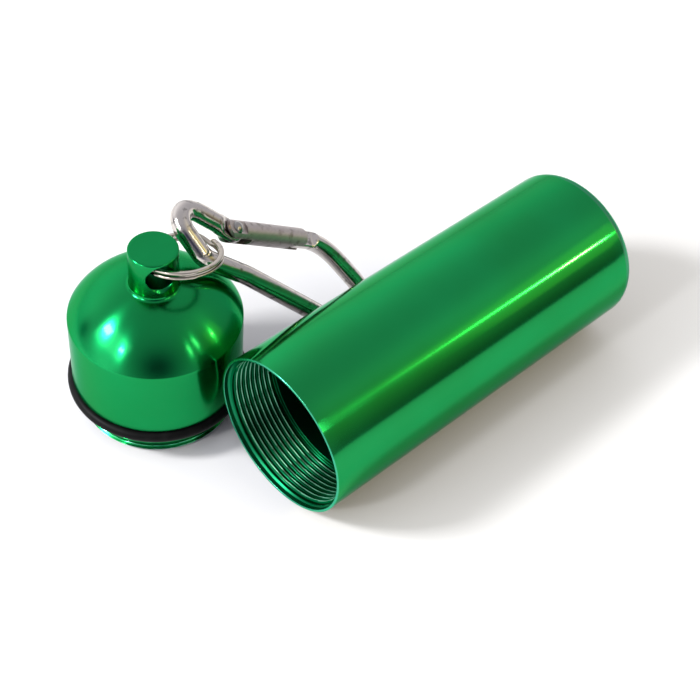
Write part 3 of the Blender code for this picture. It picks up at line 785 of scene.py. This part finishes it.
@dataclass
class Cap:
    """The cap: knob with its cross hole, dome, skirt, neck and threaded plug."""

    radius: float = 16.65 * MM
    skirt_height: float = 15.1 * MM
    side_radius: float = 1.0 * MM
    side_turn: float = 30.0
    crown_radius: float = 16.5 * MM
    plug_radius: float = 15.1 * MM
    plug_root: float = 14.75 * MM
    plug_crest: float = 15.25 * MM
    plug_length: float = 4.9 * MM
    neck_radius: float = 15.0 * MM
    neck_length: float = 2.9 * MM
    plug_wall: float = 1.6 * MM
    pitch: float = THREAD_PITCH
    cavity_straight: float = 18.5 * MM
    cavity_round: float = 9.0 * MM
    plug_chamfer: float = 0.3 * MM
    plug_step: float = 0.05 * MM
    ridge_start: float = 0.35 * MM
    fade_start: float = 0.2 * MM
    fade_in: float = 0.5 * MM
    fade_out: float = 0.4 * MM
    skirt_round: float = 0.3 * MM
    neck_round: float = 0.1 * MM
    mouth_round: float = 0.15 * MM
    longest_span: float = 2 * MM
    knob_round: float = 0.28 * MM
    knob_span: float = 0.45 * MM
    knob_radius: float = 4.7 * MM
    knob_height: float = 8.9 * MM
    knob_fillet: float = 0.8 * MM
    hole_radius: float = 2.8 * MM
    hole_below_top: float = 3.7 * MM
    hole_rim: float = 0.55 * MM
    hole_round: float = 0.5 * MM
    hole_over: float = 1 * MM
    hole_bearing: float = -109.3
    hole_columns: int = 72
    columns: int = 192

    def place(self) -> Matrix:
        """Matrix at the middle of the plug's end, with Z up the cap."""
        low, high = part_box("cap")
        return Matrix.Translation(((low[0] + high[0]) / 2, (low[1] + high[1]) / 2, low[2]))

    def dome(self) -> Array:
        """Outside of the dome as two arcs that run into each other, from skirt to knob.

        Returns:
            Array of (n, 2) radii and heights.
        """
        start = self.plug_length + self.neck_length + self.skirt_height
        side = arc((self.radius - self.side_radius, start), self.side_radius, 0, self.side_turn, 8)
        turn = math.radians(self.side_turn)
        middle = side[-1] - self.crown_radius * np.array([math.cos(turn), math.sin(turn)])
        reach = (self.knob_radius + self.knob_fillet - middle[0]) / self.crown_radius
        crown = arc(tuple(middle), self.crown_radius, self.side_turn, math.degrees(math.acos(reach)), 28)
        return np.concatenate([side, crown[1:]])

    def plug_rows(self) -> Array:
        """Outer wall of the plug with a ridge that climbs one pitch per turn, bottom to top.

        The radius is root plus (crest - root) times the ridge at (height / pitch -
        angle / turn), faded at both ends.

        Returns:
            Array of (rows, columns, 2) radii and heights.
        """
        end = self.plug_length - self.plug_step
        height = np.arange(self.ridge_start, end, self.pitch / THREAD_ROWS)[:, None]
        angle = np.arange(self.columns)[None] / self.columns
        bottom = np.clip((height - self.fade_start) / self.fade_in, 0, 1)
        top = np.clip((self.plug_length - height) / self.fade_out, 0, 1)
        ridge = thread_ridge(height / self.pitch - angle) * bottom * top
        radius = self.plug_root + (self.plug_crest - self.plug_root) * ridge
        return np.stack([radius, np.broadcast_to(height, radius.shape)], axis=-1)

    def body(self) -> Piece:
        """Turn the whole cap as one closed skin, from the knob's top to the hollow's top.

        Returns:
            The cap with its cross hole, and a material number for each face.
        """
        dome = self.dome()
        base = float(dome[-1, 1])
        top = base + self.knob_height
        seat = self.plug_length + self.neck_length
        knob = np.array([(0, top), (self.knob_radius, top), (self.knob_radius, base + self.knob_fillet)])
        knob = fill_spans(soften(knob, [0, self.knob_round, 0], 5), self.knob_span)
        foot = (self.knob_radius + self.knob_fillet, base + self.knob_fillet)
        fillet = arc(foot, self.knob_fillet, 180, 270, 8)
        skirt = np.array([tuple(dome[0]), (self.radius, seat), (self.neck_radius, seat),
                          (self.neck_radius, self.plug_length),
                          (self.plug_root, self.plug_length - self.plug_step)])
        rounds = [0, self.skirt_round, self.neck_round, self.neck_round, 0]
        skirt = fill_spans(soften(skirt, rounds, 5), self.longest_span)
        outer = np.concatenate([knob[:-1], fillet[:-1], dome[::-1][:-1], skirt])
        cavity = self.plug_radius - self.plug_wall
        rim = np.array([(self.plug_root, self.plug_chamfer), (self.plug_root - self.plug_chamfer, 0),
                        (cavity, 0), (cavity, self.cavity_straight)])
        rounds = [0, self.neck_round, self.mouth_round, 0]
        rim = fill_spans(soften(rim, rounds, 4), self.longest_span)
        hollow = arc((cavity - self.cavity_round, self.cavity_straight), self.cavity_round, 0, 90, 14)
        end = np.array([(0, self.cavity_straight + self.cavity_round)])
        inner = np.concatenate([rim[:-1], hollow, end])
        plug = self.plug_rows()[::-1]
        profile = np.concatenate([all_round(outer, self.columns), plug, all_round(inner, self.columns)])
        piece = turned_solid("cap_body", profile, self.columns, self.place())
        # Plug crest faces get material 1, a pale green that is partly wear and partly a painted highlight.
        crest = plug[..., 0] - self.plug_root > CREST_SHARE * (self.plug_crest - self.plug_root)
        paint_faces(piece, crest.astype(int), len(outer))
        cut(piece, self.hole_cutter(top - self.hole_below_top))
        self.paint_hole(piece, top - self.hole_below_top)
        return piece

    def paint_hole(self, piece: Piece, height: float) -> None:
        """Give the faces inside the cross hole material number 2, a darker green that is painted shade.

        They lie within the hole's radius of its axis and inside the knob.

        Args:
            piece: The cap, with its hole cut.
            height: Height of the hole's axis above the plug's end.
        """
        polygons = piece.data.polygons
        centres = np.empty(len(polygons) * 3)
        polygons.foreach_get("center", centres)
        offset = centres.reshape(-1, 3) - np.array(self.place() @ Vector((0, 0, height)))
        along = offset @ np.array(direction_of(self.hole_bearing))
        beside = np.sqrt(np.maximum((offset ** 2).sum(axis=1) - along ** 2, 0))
        numbers = np.empty(len(polygons), dtype=np.int32)
        polygons.foreach_get("material_index", numbers)
        numbers[(beside < 1.02 * self.hole_radius) & (abs(along) < self.knob_radius)] = 2
        polygons.foreach_set("material_index", numbers)

    def hole_cutter(self, height: float) -> Piece:
        """Cutter of the cross hole, flared where it leaves the knob.

        Args:
            height: Height of the hole's axis above the plug's end.

        Returns:
            The closed cutter.
        """
        reach, waist = self.knob_radius + self.hole_over, self.knob_radius - self.hole_rim
        flare = self.hole_radius + self.hole_rim + self.hole_over
        rim = np.array([(0, -reach), (flare, -reach), (self.hole_radius, -waist),
                        (self.hole_radius, waist), (flare, reach), (0, reach)])
        rim = soften(rim, [0, 0, self.hole_round, self.hole_round, 0, 0], 4)
        across = direction_of(self.hole_bearing)
        turn = Vector((0, 0, 1)).rotation_difference(across).to_matrix().to_4x4()
        matrix = self.place() @ Matrix.Translation((0, 0, height)) @ turn
        return turned_solid("hole_cutter", rim, self.hole_columns, matrix)

    def build(self) -> list[Piece]:
        """Build and dress the cap.

        Returns:
            The new pieces.
        """
        body = self.body()
        smooth(body, 40)
        turned = partial(AnodisedGreen, centre=tuple(self.place().translation), turn=ORIGIN, axis="Z")
        outside = turned("cap_anodised_green", colour=(0.005, 0.275, 0.07), grooves=0.75, clear=0.12)
        # Plug crests: pale green, partly wear and partly a painted highlight.
        crest = turned("plug_crest_worn", colour=(0.2, 0.66, 0.46), roughness=0.22)
        # Painted shade: the cross hole's inside gets a much darker green than the cap.
        hole = turned("hole_anodised_green", colour=(0.003, 0.1, 0.03), roughness=0.3, clear=0.0)
        dress(body, Body.CAP, outside, "green_anodised", crest, hole)
        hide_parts("cap")
        return [body]


@dataclass
class Seal:
    """The rubber ring under the skirt."""

    outer_radius: float = 17.6 * MM
    section: float = 1.15 * MM
    section_spans: int = 28
    columns: int = 192

    def build(self) -> list[Piece]:
        """Turn a round section about the cap's axis and dress it.

        Returns:
            The new pieces.
        """
        low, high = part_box("o_ring")
        middle = Matrix.Translation([(a + b) / 2 for a, b in zip(low, high)])
        line = (self.outer_radius - self.section, 0)
        profile = arc(line, self.section, 0, 360, self.section_spans)[:-1]
        piece = grid_object("seal_ring", turn_profile(profile, self.columns, middle), wrap_rows=True)
        smooth(piece, 60)
        dress(piece, Body.SEAL, BlackRubber(), "black_rubber")
        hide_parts("o_ring")
        return [piece]


# Wire pieces


@dataclass
class SplitRing:
    """Two turns of flattened wire with a step between them."""

    radius: float = 7.2 * MM
    strand_width: float = 1.0 * MM
    strand_height: float = 0.55 * MM
    turn_gap: float = 0.4 * MM
    reach: float = 5.5 * MM
    rise: float = 0.08 * MM
    tilt: float = -14.9
    lean: float = 3.0
    step_bearing: float = 37.0
    step_turn: float = 30.0
    end_gap: float = 2.0
    squareness: float = 3.6
    points: int = 340
    columns: int = 24

    def place(self, cap: Cap) -> Matrix:
        """Frame of the ring, tilted and leaning as it hangs.

        Args:
            cap: The cap whose cross hole holds the ring.

        Returns:
            Matrix at the ring's middle, with X away from the cap and Z square to its turns.
        """
        dome_top = float(cap.dome()[-1, 1])
        hole = dome_top + cap.knob_height - cap.hole_below_top + self.rise
        reach = Vector((0, 0, 1)).cross(direction_of(cap.hole_bearing))
        centre = cap.place().translation + Vector((0, 0, hole)) + reach * self.reach
        axes = Matrix.Identity(3)
        axes.col[0] = reach
        axes.col[1] = Vector((0, 0, 1)).cross(reach)
        tilt = Matrix.Rotation(math.radians(self.tilt), 4, "X")
        lean = Matrix.Rotation(math.radians(self.lean), 4, "Y")
        return Matrix.Translation(centre) @ axes.to_4x4() @ tilt @ lean

    def path(self) -> Array:
        """Middle line: radius times (cos, sin) of the bearing, raised by a smooth step.

        Returns:
            Array of (points, 3) places in the ring's frame.
        """
        rise = (self.strand_height + self.turn_gap) / 2
        total = 720 - self.step_turn - self.end_gap
        start = self.step_bearing - 360 + (self.step_turn + self.end_gap) / 2
        bearing = np.linspace(start, start + total, self.points)
        height = rise * (2 * eased((bearing - self.step_bearing) / self.step_turn + 0.5) - 1)
        angle = np.radians(bearing)
        return np.stack([self.radius * np.cos(angle), self.radius * np.sin(angle), height], axis=1)

    def build(self, cap: Cap) -> list[Piece]:
        """Sweep the flattened section along the two turns and dress the ring.

        Args:
            cap: The cap whose cross hole holds the ring.

        Returns:
            The new pieces.
        """
        path = self.path()
        forward = unit(np.gradient(path, axis=0))
        outward = unit(path * np.array([1, 1, 0]))
        up = unit(np.cross(outward, forward))
        order = np.arange(self.points)
        taper = np.sqrt(np.clip(0.55 + 0.45 * np.minimum(order, order[::-1]) / 2, 0, 1))
        half_width, half_height = self.strand_width / 2 * taper, self.strand_height / 2 * taper
        power = np.full(self.points, self.squareness)
        grid = sweep(path, np.cross(forward, up), up, half_width, half_height, power, self.columns)
        piece = grid_object("key_ring", place_points(grid, self.place(cap)))
        smooth(piece, 50)
        dress(piece, Body.RING, NickelPlate("ring_nickel", 0.14, (0.42, 0.38, 0.33)), "nickel_plate")
        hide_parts("split_ring")
        return [piece]


@dataclass
class Hook:
    """The snap hook: bent rod, rivet and sprung gate."""

    rod: float = 1.925 * MM
    eye_top: Pair = (0.0, 4.8 * MM)
    eye_top_radius: float = 8.9 * MM
    eye_end: Pair = (-8.3 * MM, 2.65 * MM)
    eye_end_radius: float = 3.2 * MM
    heel: Pair = (1.7 * MM, -4.95 * MM)
    heel_radius: float = 3.4 * MM
    knee_at: float = 13.0 * MM
    knee_radius: float = 20.0 * MM
    spine_drop: float = 3.6 * MM
    far_at: float = 42.9 * MM
    far_radius: float = 7.3 * MM
    arm_slope: float = 25.4
    arm_radius: float = 13.7 * MM
    pivot_along: float = 9.3 * MM
    pivot_above: float = 4.8 * MM
    gate_angle: float = 20.8
    gate_length: float = 21.3 * MM
    arm_bend_at: float = 22.8 * MM
    tongue: float = 1.6 * MM
    tongue_power: float = 5.0
    end_first: float = 84.0
    end_last: float = 9.0
    end_rings: int = 8
    pivot_shoulder: float = 1.4 * MM
    nose_shoulder: float = 0.8 * MM
    nose_width: float = 3.9 * MM
    nose_overlap: float = 2.4 * MM
    nose_length: float = 5.75 * MM
    sleeve: float = 2.3 * MM
    cheek: float = 1.9 * MM
    fork_depth: float = 4.2 * MM
    bore: float = 1.4 * MM
    bore_length: float = 11.0 * MM
    rivet: float = 0.75 * MM
    rivet_head: float = 1.3 * MM
    rivet_rise: float = 0.7 * MM
    seat_gap: float = 0.3 * MM
    bearing: float = -26.8
    dip: float = 43.5
    lean: float = 15.6
    crossing_from_heel: float = 2.9 * MM
    ring_crossing: float = 36.8
    crossing_room: float = 0.595 * MM
    rod_step: float = 0.4 * MM
    rod_columns: int = 40
    pin_gap: float = 0.1 * MM
    head_gap: float = 0.06 * MM
    nose_chamfer: float = 0.75 * MM
    edge_bevel: float = 0.08 * MM
    cutter_over: float = 1 * MM
    sleeve_span: float = 1.5 * MM
    sleeve_columns: int = 96
    pin_columns: int = 48

    def place(self, cap: Cap, ring: SplitRing) -> Matrix:
        """Frame of the hook, whose rod passes inside the ring with a little room.

        Args:
            cap: The cap that carries the ring.
            ring: The ring that the hook hangs on.

        Returns:
            Matrix at the eye's middle, with X along the spine and Y towards the gate.
        """
        dip, lean = math.radians(self.dip), math.radians(self.lean)
        level = direction_of(self.bearing)
        spine = level * math.cos(dip) - Vector((0, 0, math.sin(dip)))
        beside = Vector((0, 0, 1)).cross(level)
        across = beside * math.cos(lean) + spine.cross(beside) * math.sin(lean)
        ring_place = ring.place(cap)
        pull = ring_place.to_3x3() @ direction_of(self.ring_crossing)
        reach = ring.radius - ring.strand_width / 2 - self.rod - self.crossing_room
        heel, end = Vector(self.heel), Vector(self.eye_end)
        along, above = heel + (end - heel).normalized() * self.crossing_from_heel
        eye = ring_place.translation + pull * reach - spine * along - across * above
        matrix = Matrix.Identity(4)
        for column, direction in enumerate((spine, across, spine.cross(across))):
            matrix.col[column] = (*direction, 0)
        matrix.translation = eye
        return matrix

    def gate_place(self, cap: Cap, ring: SplitRing) -> Matrix:
        """Frame of the gate: the rivet's middle, X along the closed gate."""
        pivot = Matrix.Translation((self.pivot_along, self.pivot_above, 0))
        return self.place(cap, ring) @ pivot @ Matrix.Rotation(math.radians(self.gate_angle), 4, "Z")

    def middle_line(self) -> tuple[Array, Array]:
        """Rod's middle line at even steps: straight, eye, spine, wide bend, arm, nose.

        Returns:
            Distances along the line, and its (n, 2) points.
        """
        pivot = np.array([self.pivot_along, self.pivot_above])
        angle = math.radians(self.gate_angle)
        gate = np.array([math.cos(angle), math.sin(angle)])
        knee, far_start = (self.knee_at, -self.spine_drop), (self.far_at, -self.spine_drop)
        corners = np.array([tuple(pivot), self.eye_top, self.eye_end, self.heel, knee, far_start])
        radii = [0, self.eye_top_radius, self.eye_end_radius, self.heel_radius, self.knee_radius, 0]
        near = soften(corners, radii, 48)
        far_middle = (self.far_at, self.far_radius - self.spine_drop)
        far = arc(far_middle, self.far_radius, -90, 90 - self.arm_slope, 70)
        start = pivot + gate * self.arm_bend_at
        middle = start + np.array([gate[1], -gate[0]]) * self.arm_radius
        arm = arc(tuple(middle), self.arm_radius, 90 - self.arm_slope, 90 + self.gate_angle, 30)
        nose = pivot + gate * (self.gate_length - self.nose_overlap)
        line = np.concatenate([near[:-1], far, arm, nose[None]])
        lengths = np.concatenate([[0], np.cumsum(np.linalg.norm(np.diff(line, axis=0), axis=1))])
        distance = np.linspace(0, lengths[-1], int(lengths[-1] / self.rod_step))
        points = np.stack([np.interp(distance, lengths, line[:, axis]) for axis in range(2)], axis=1)
        return distance, points

    def rod_piece(self, place: Matrix) -> Piece:
        """Sweep the rod; near both ends its round section changes to a flat tongue.

        Half thickness, half width and squareness go from the tongue's values to the
        rod's with the smooth step 3s^2 - 2s^3, and each tongue ends in a half circle.

        Args:
            place: Frame of the hook.

        Returns:
            The rod.
        """
        distance, points = self.middle_line()
        pivot_full = eased((distance - self.sleeve - self.seat_gap) / self.pivot_shoulder)
        nose_full = eased((distance[-1] - distance - self.nose_length) / self.nose_shoulder)
        full = np.minimum(pivot_full, nose_full)
        end_width = np.where(pivot_full < nose_full, self.sleeve, self.nose_width / 2)
        thick = self.tongue / 2 + (self.rod - self.tongue / 2) * full
        width = end_width + (self.rod - end_width) * full
        power = self.tongue_power + (2 - self.tongue_power) * full
        forward = unit(np.gradient(points, axis=0))
        turn = np.radians(np.linspace(self.end_first, self.end_last, self.end_rings))
        ends = (self.end_rings, self.end_rings)
        first = points[0] - forward[0] * (width[0] * np.sin(turn))[:, None]
        last = points[-1] + forward[-1] * (width[-1] * np.sin(turn[::-1]))[:, None]
        path = np.concatenate([first, points, last])
        half = np.concatenate([width[0] * np.cos(turn), width, width[-1] * np.cos(turn[::-1])])
        forward = np.pad(forward, (ends, (0, 0)), mode="edge")
        thick, power = (np.pad(values, ends, mode="edge") for values in (thick, power))
        flat = np.zeros((len(path), 1))
        side = np.stack([-forward[:, 1], forward[:, 0], flat[:, 0]], axis=1)
        up = np.repeat(np.array([[0.0, 0.0, 1.0]]), len(path), axis=0)
        grid = sweep(np.concatenate([path, flat], axis=1), side, up, half, thick, power, self.rod_columns)
        return grid_object("hook_rod", place_points(grid, place))

    def block(self, name: str, plan: Array, low: float, high: float, place: Matrix) -> Piece:
        """A solid with a given plan between two heights of a frame, as a two-row grid."""
        rows = [np.concatenate([plan, np.full((len(plan), 1), height)], axis=1) for height in (low, high)]
        return grid_object(name, place_points(np.stack(rows), place))

    def box(self, name: str, low: Sequence[float], high: Sequence[float], place: Matrix) -> Piece:
        """A box between two corners of a frame."""
        plan = np.array([(low[0], low[1]), (high[0], low[1]), (high[0], high[1]), (low[0], high[1])])
        return self.block(name, plan, low[2], high[2], place)

    def sleeve_piece(self, place: Matrix) -> Piece:
        """Turn the sleeve, trim its ends, then cut the fork, the nose slot and the bore.

        Args:
            place: Frame of the gate.

        Returns:
            The sleeve.
        """
        over = self.cutter_over
        start, end = -self.sleeve - over, self.gate_length + over
        along = place @ Matrix.Rotation(math.radians(90), 4, "Y")
        wall = np.array([(0, start), (self.sleeve, start), (self.sleeve, end), (0, end)])
        wall = fill_spans(wall, self.sleeve_span)
        piece = turned_solid("gate_sleeve_shell", wall, self.sleeve_columns, along)
        half, chamfer = self.sleeve + over, self.nose_chamfer + over
        length = self.gate_length
        nose_end = [(0, -half), (length - chamfer, -half), (length, chamfer - half),
                    (length, half - chamfer), (length - chamfer, half), (0, half)]
        plan = np.concatenate([arc((0, 0), self.sleeve, 90, 270, 27), nose_end])
        cut(piece, self.block("gate_plan", plan, -half, half, place), "INTERSECT")
        slot = self.tongue / 2 + self.seat_gap
        cut(piece, self.box("fork_slot", (start, -half, -slot), (self.fork_depth, half, slot), place))
        nose = length - self.nose_overlap - self.nose_width / 2 - self.seat_gap
        cut(piece, self.box("nose_slot", (nose, -half, -slot), (end, half, slot), place))
        bore = self.sleeve + self.seat_gap
        bore_end = bore + self.bore_length
        inner = np.array([(0, bore), (self.bore, bore), (self.bore, bore_end), (0, bore_end)])
        cut(piece, turned_solid("spring_bore", inner, self.pin_columns, along))
        pin = self.rivet + self.pin_gap
        hole = np.array([(0, -half), (pin, -half), (pin, half), (0, half)])
        cut(piece, turned_solid("rivet_hole", hole, self.pin_columns, place))
        for side in (-1, 1):
            low, high = sorted((side * self.cheek, side * half))
            cut(piece, self.box("cheek_flat", (start, -half, low), (self.sleeve, half, high), place))
        bevel = piece.modifiers.new("edge", "BEVEL")
        bevel.width = self.edge_bevel
        bevel.segments = 2
        bevel.angle_limit = math.radians(40)
        bevel.harden_normals = True
        return piece

    def rivet_piece(self, place: Matrix) -> Piece:
        """Turn the rivet: a pin between two domed heads.

        Args:
            place: Frame of the gate.

        Returns:
            The rivet.
        """
        seat = self.cheek + self.head_gap
        dome = (self.rivet_head ** 2 + self.rivet_rise ** 2) / (2 * self.rivet_rise)
        spread = math.degrees(math.asin(self.rivet_head / dome))
        upper = arc((0, seat + self.rivet_rise - dome), dome, 90 - spread, 90, 10)
        upper[-1, 0] = 0
        lower = upper[::-1] * np.array([1, -1])
        profile = np.concatenate([lower, [(self.rivet, -seat), (self.rivet, seat)], upper])
        return turned_solid("gate_rivet_pin", profile, self.pin_columns, place)

    def build(self, cap: Cap, ring: SplitRing) -> list[Piece]:
        """Build and dress the hook's pieces.

        Args:
            cap: The cap that carries the ring.
            ring: The ring that the hook hangs on.

        Returns:
            The new pieces.
        """
        place, gate = self.place(cap, ring), self.gate_place(cap, ring)
        rod, sleeve, rivet = self.rod_piece(place), self.sleeve_piece(gate), self.rivet_piece(gate)
        smooth(rod, 50)
        smooth(sleeve, 35)
        smooth(rivet, 50)
        dress(rod, Body.HOOK, NickelPlate("hook_nickel", 0.1), "nickel_plate")
        dress(rivet, Body.HOOK, NickelPlate("rivet_nickel", 0.2, (0.3, 0.29, 0.28)), "nickel_plate")
        turn = gate.to_3x3().inverted().to_euler()
        satin = SatinSteel("sleeve_satin", tuple(gate.translation), tuple(turn))
        dress(sleeve, Body.GATE, satin, "satin_steel")
        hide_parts("hook_frame")
        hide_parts("gate_rivet")
        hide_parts("gate_sleeve")
        for node in ("gate_spring", "gate_plunger"):
            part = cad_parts[node]
            part.data.materials.clear()
            part.data.materials.append(SpringWire().material())
        return [rod, sleeve, rivet]


# Studio


@dataclass(frozen=True)
class Glow:
    """A soft patch of the room, brighter or darker than the rest, with its spread in degrees."""

    azimuth: float
    height: float
    spread: float
    strength: float
    colour: Triple = ONES


@dataclass(frozen=True)
class Panel:
    """A rectangular light, by where the object sees it and how large, in degrees."""

    name: str
    azimuth: float
    height: float
    size: Pair
    radiance: float
    colour: Triple
    distance: float = 0.9

    def hang(self) -> None:
        """Add the light; its power is pi times radiance times area."""
        light = bpy.data.lights.new(self.name, "AREA")
        light.shape = "RECTANGLE"
        width, height = (2 * self.distance * math.tan(math.radians(angle / 2)) for angle in self.size)
        light.size, light.size_y = width, height
        light.energy = math.pi * self.radiance * width * height
        light.color = self.colour
        item = add_object(self.name, light)
        direction = direction_of(self.azimuth, self.height)
        rotation = (-direction).to_track_quat("-Z", "Y").to_matrix().to_4x4()
        item.matrix_world = Matrix.Translation(direction * self.distance) @ rotation


@dataclass
class Studio:
    """Camera, pale floor, room and lights."""

    camera_offset: Triple = (-112.725 * MM, -119.905 * MM, 227.302 * MM)
    yaw: float = -46.26
    pitch: float = 47.778
    roll: float = 5.397
    lens: float = 75.05
    shift: Pair = (0.01953, -0.02713)
    floor_reach: float = 3.0
    floor_drop: float = 0.02 * MM
    darkest: float = 0.04
    room: Triple = (0.61, 0.615, 0.67)
    glows: tuple[Glow, ...] = (
        Glow(75, 12, 34, 0.7),
        Glow(112, 20, 22, 0.5),
        Glow(172, 5, 18, 1.2),
        Glow(-125, 24, 26, -0.6),
        Glow(129, 9, 7, -0.9),
        Glow(-55, 0, 16, -0.45),
        Glow(-38, 42, 18, 0.3),
        Glow(-54, 30, 24, -0.45, (0.0, 0.2, 1.0)),
    )
    panels: tuple[Panel, ...] = (
        Panel("window", 164, 36, (42, 25), 2.4, (0.9, 0.98, 1.0)),
        Panel("window_core", 149, 39, (10, 8.5), 85.0, (1.0, 0.99, 1.0)),
        Panel("window_side", -178, 35, (5, 4), 85.0, (1.0, 0.99, 1.0)),
        Panel("lamp", -44.5, 28.8, (1.8, 1.1), 330.0, (1.0, 0.7, 0.25)),
        Panel("lamp_shade", -43, 28, (20, 20), 0.7, (1.0, 0.85, 0.1), 0.92),
        Panel("strip", -83, 36, (3, 13), 9.0, (1.0, 0.95, 0.6)),
        Panel("strip_beside", -70, 39, (3, 13), 10.0, (1.0, 0.95, 0.6)),
    )

    def camera(self) -> None:
        """Place the camera from its distance to the mouth's ground point."""
        low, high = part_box("tube")
        mouth = Vector((low[0], (low[1] + high[1]) / 2, low[2]))
        yaw, pitch, roll = (math.radians(angle) for angle in (self.yaw, self.pitch, self.roll))
        tilted = Matrix.Rotation(math.pi / 2 - pitch, 4, "X") @ Matrix.Rotation(roll, 4, "Z")
        turned = Matrix.Rotation(yaw, 4, "Z") @ tilted
        data = bpy.data.cameras.new("camera")
        data.lens = self.lens
        data.sensor_width = 36
        data.sensor_fit = "HORIZONTAL"
        data.shift_x, data.shift_y = self.shift
        data.clip_start = 0.01
        data.clip_end = 20
        item = add_object("camera", data)
        item.matrix_world = Matrix.Translation(mouth + Vector(self.camera_offset)) @ turned
        bpy.context.scene.camera = item

    def floor(self) -> None:
        """A wide pale floor just under the object."""
        mesh = bpy.data.meshes.new("floor")
        signs = ((-1, -1), (1, -1), (1, 1), (-1, 1))
        corners = [(x * self.floor_reach, y * self.floor_reach, -self.floor_drop) for x, y in signs]
        mesh.from_pydata(corners, [], [(0, 1, 2, 3)])
        floor = add_object("floor", mesh)
        nodes = Nodes(bpy.data.materials.new("floor_white"))
        nodes.set(Base_Color=(0.93, 0.93, 0.93, 1.0), Roughness=0.65, Specular_IOR_Level=0.2)
        mesh.materials.append(nodes.owner)

    def surround(self) -> None:
        """Surroundings: an even grey with soft patches.

        Each patch adds strength times exp((cos of the angle from its middle - 1) / (1 -
        cos of its spread)).
        """
        nodes = Nodes(bpy.data.worlds.new("studio"))
        view = nodes.add("TexCoord").outputs["Generated"]
        total: object = self.room
        for glow in self.glows:
            axis = tuple(direction_of(glow.azimuth, glow.height))
            sharp = 1 / (1 - math.cos(math.radians(glow.spread)))
            facing = nodes.add("VectorMath", {0: view, 1: axis}, operation="DOT_PRODUCT").outputs["Value"]
            falloff = nodes.add("Math", {0: facing, 1: sharp, 2: -sharp}, operation="MULTIPLY_ADD").outputs[0]
            patch = nodes.add("Math", {0: falloff}, operation="EXPONENT").outputs[0]
            light = tuple(glow.strength * value for value in glow.colour)
            total = nodes.add("VectorMath", {0: patch, 1: light, 2: total}, operation="MULTIPLY_ADD").outputs[0]
        least = (self.darkest,) * 3
        total = nodes.add("VectorMath", {0: total, 1: least}, operation="MAXIMUM").outputs[0]
        nodes.set(Color=total)
        bpy.context.scene.world = nodes.owner

    def build(self) -> None:
        """Set up the camera, the floor and the light."""
        self.camera()
        self.floor()
        self.surround()
        for panel in self.panels:
            panel.hang()
        bpy.context.scene.view_settings.view_transform = "Standard"
        bpy.context.scene.cycles.caustics_reflective = False


def main() -> None:
    """Build the capsule's pieces, then the studio."""
    logging.basicConfig(level=logging.INFO, format="%(name)s: %(message)s")
    Studio().build()
    cap, ring = Cap(), SplitRing()
    pieces = Tube().build() + cap.build() + Seal().build()
    pieces += ring.build(cap) + Hook().build(cap, ring)
    for piece in pieces:
        LOG.info("%s: %d faces", piece.name, len(piece.data.polygons))


if __name__ == "__main__":
    main()
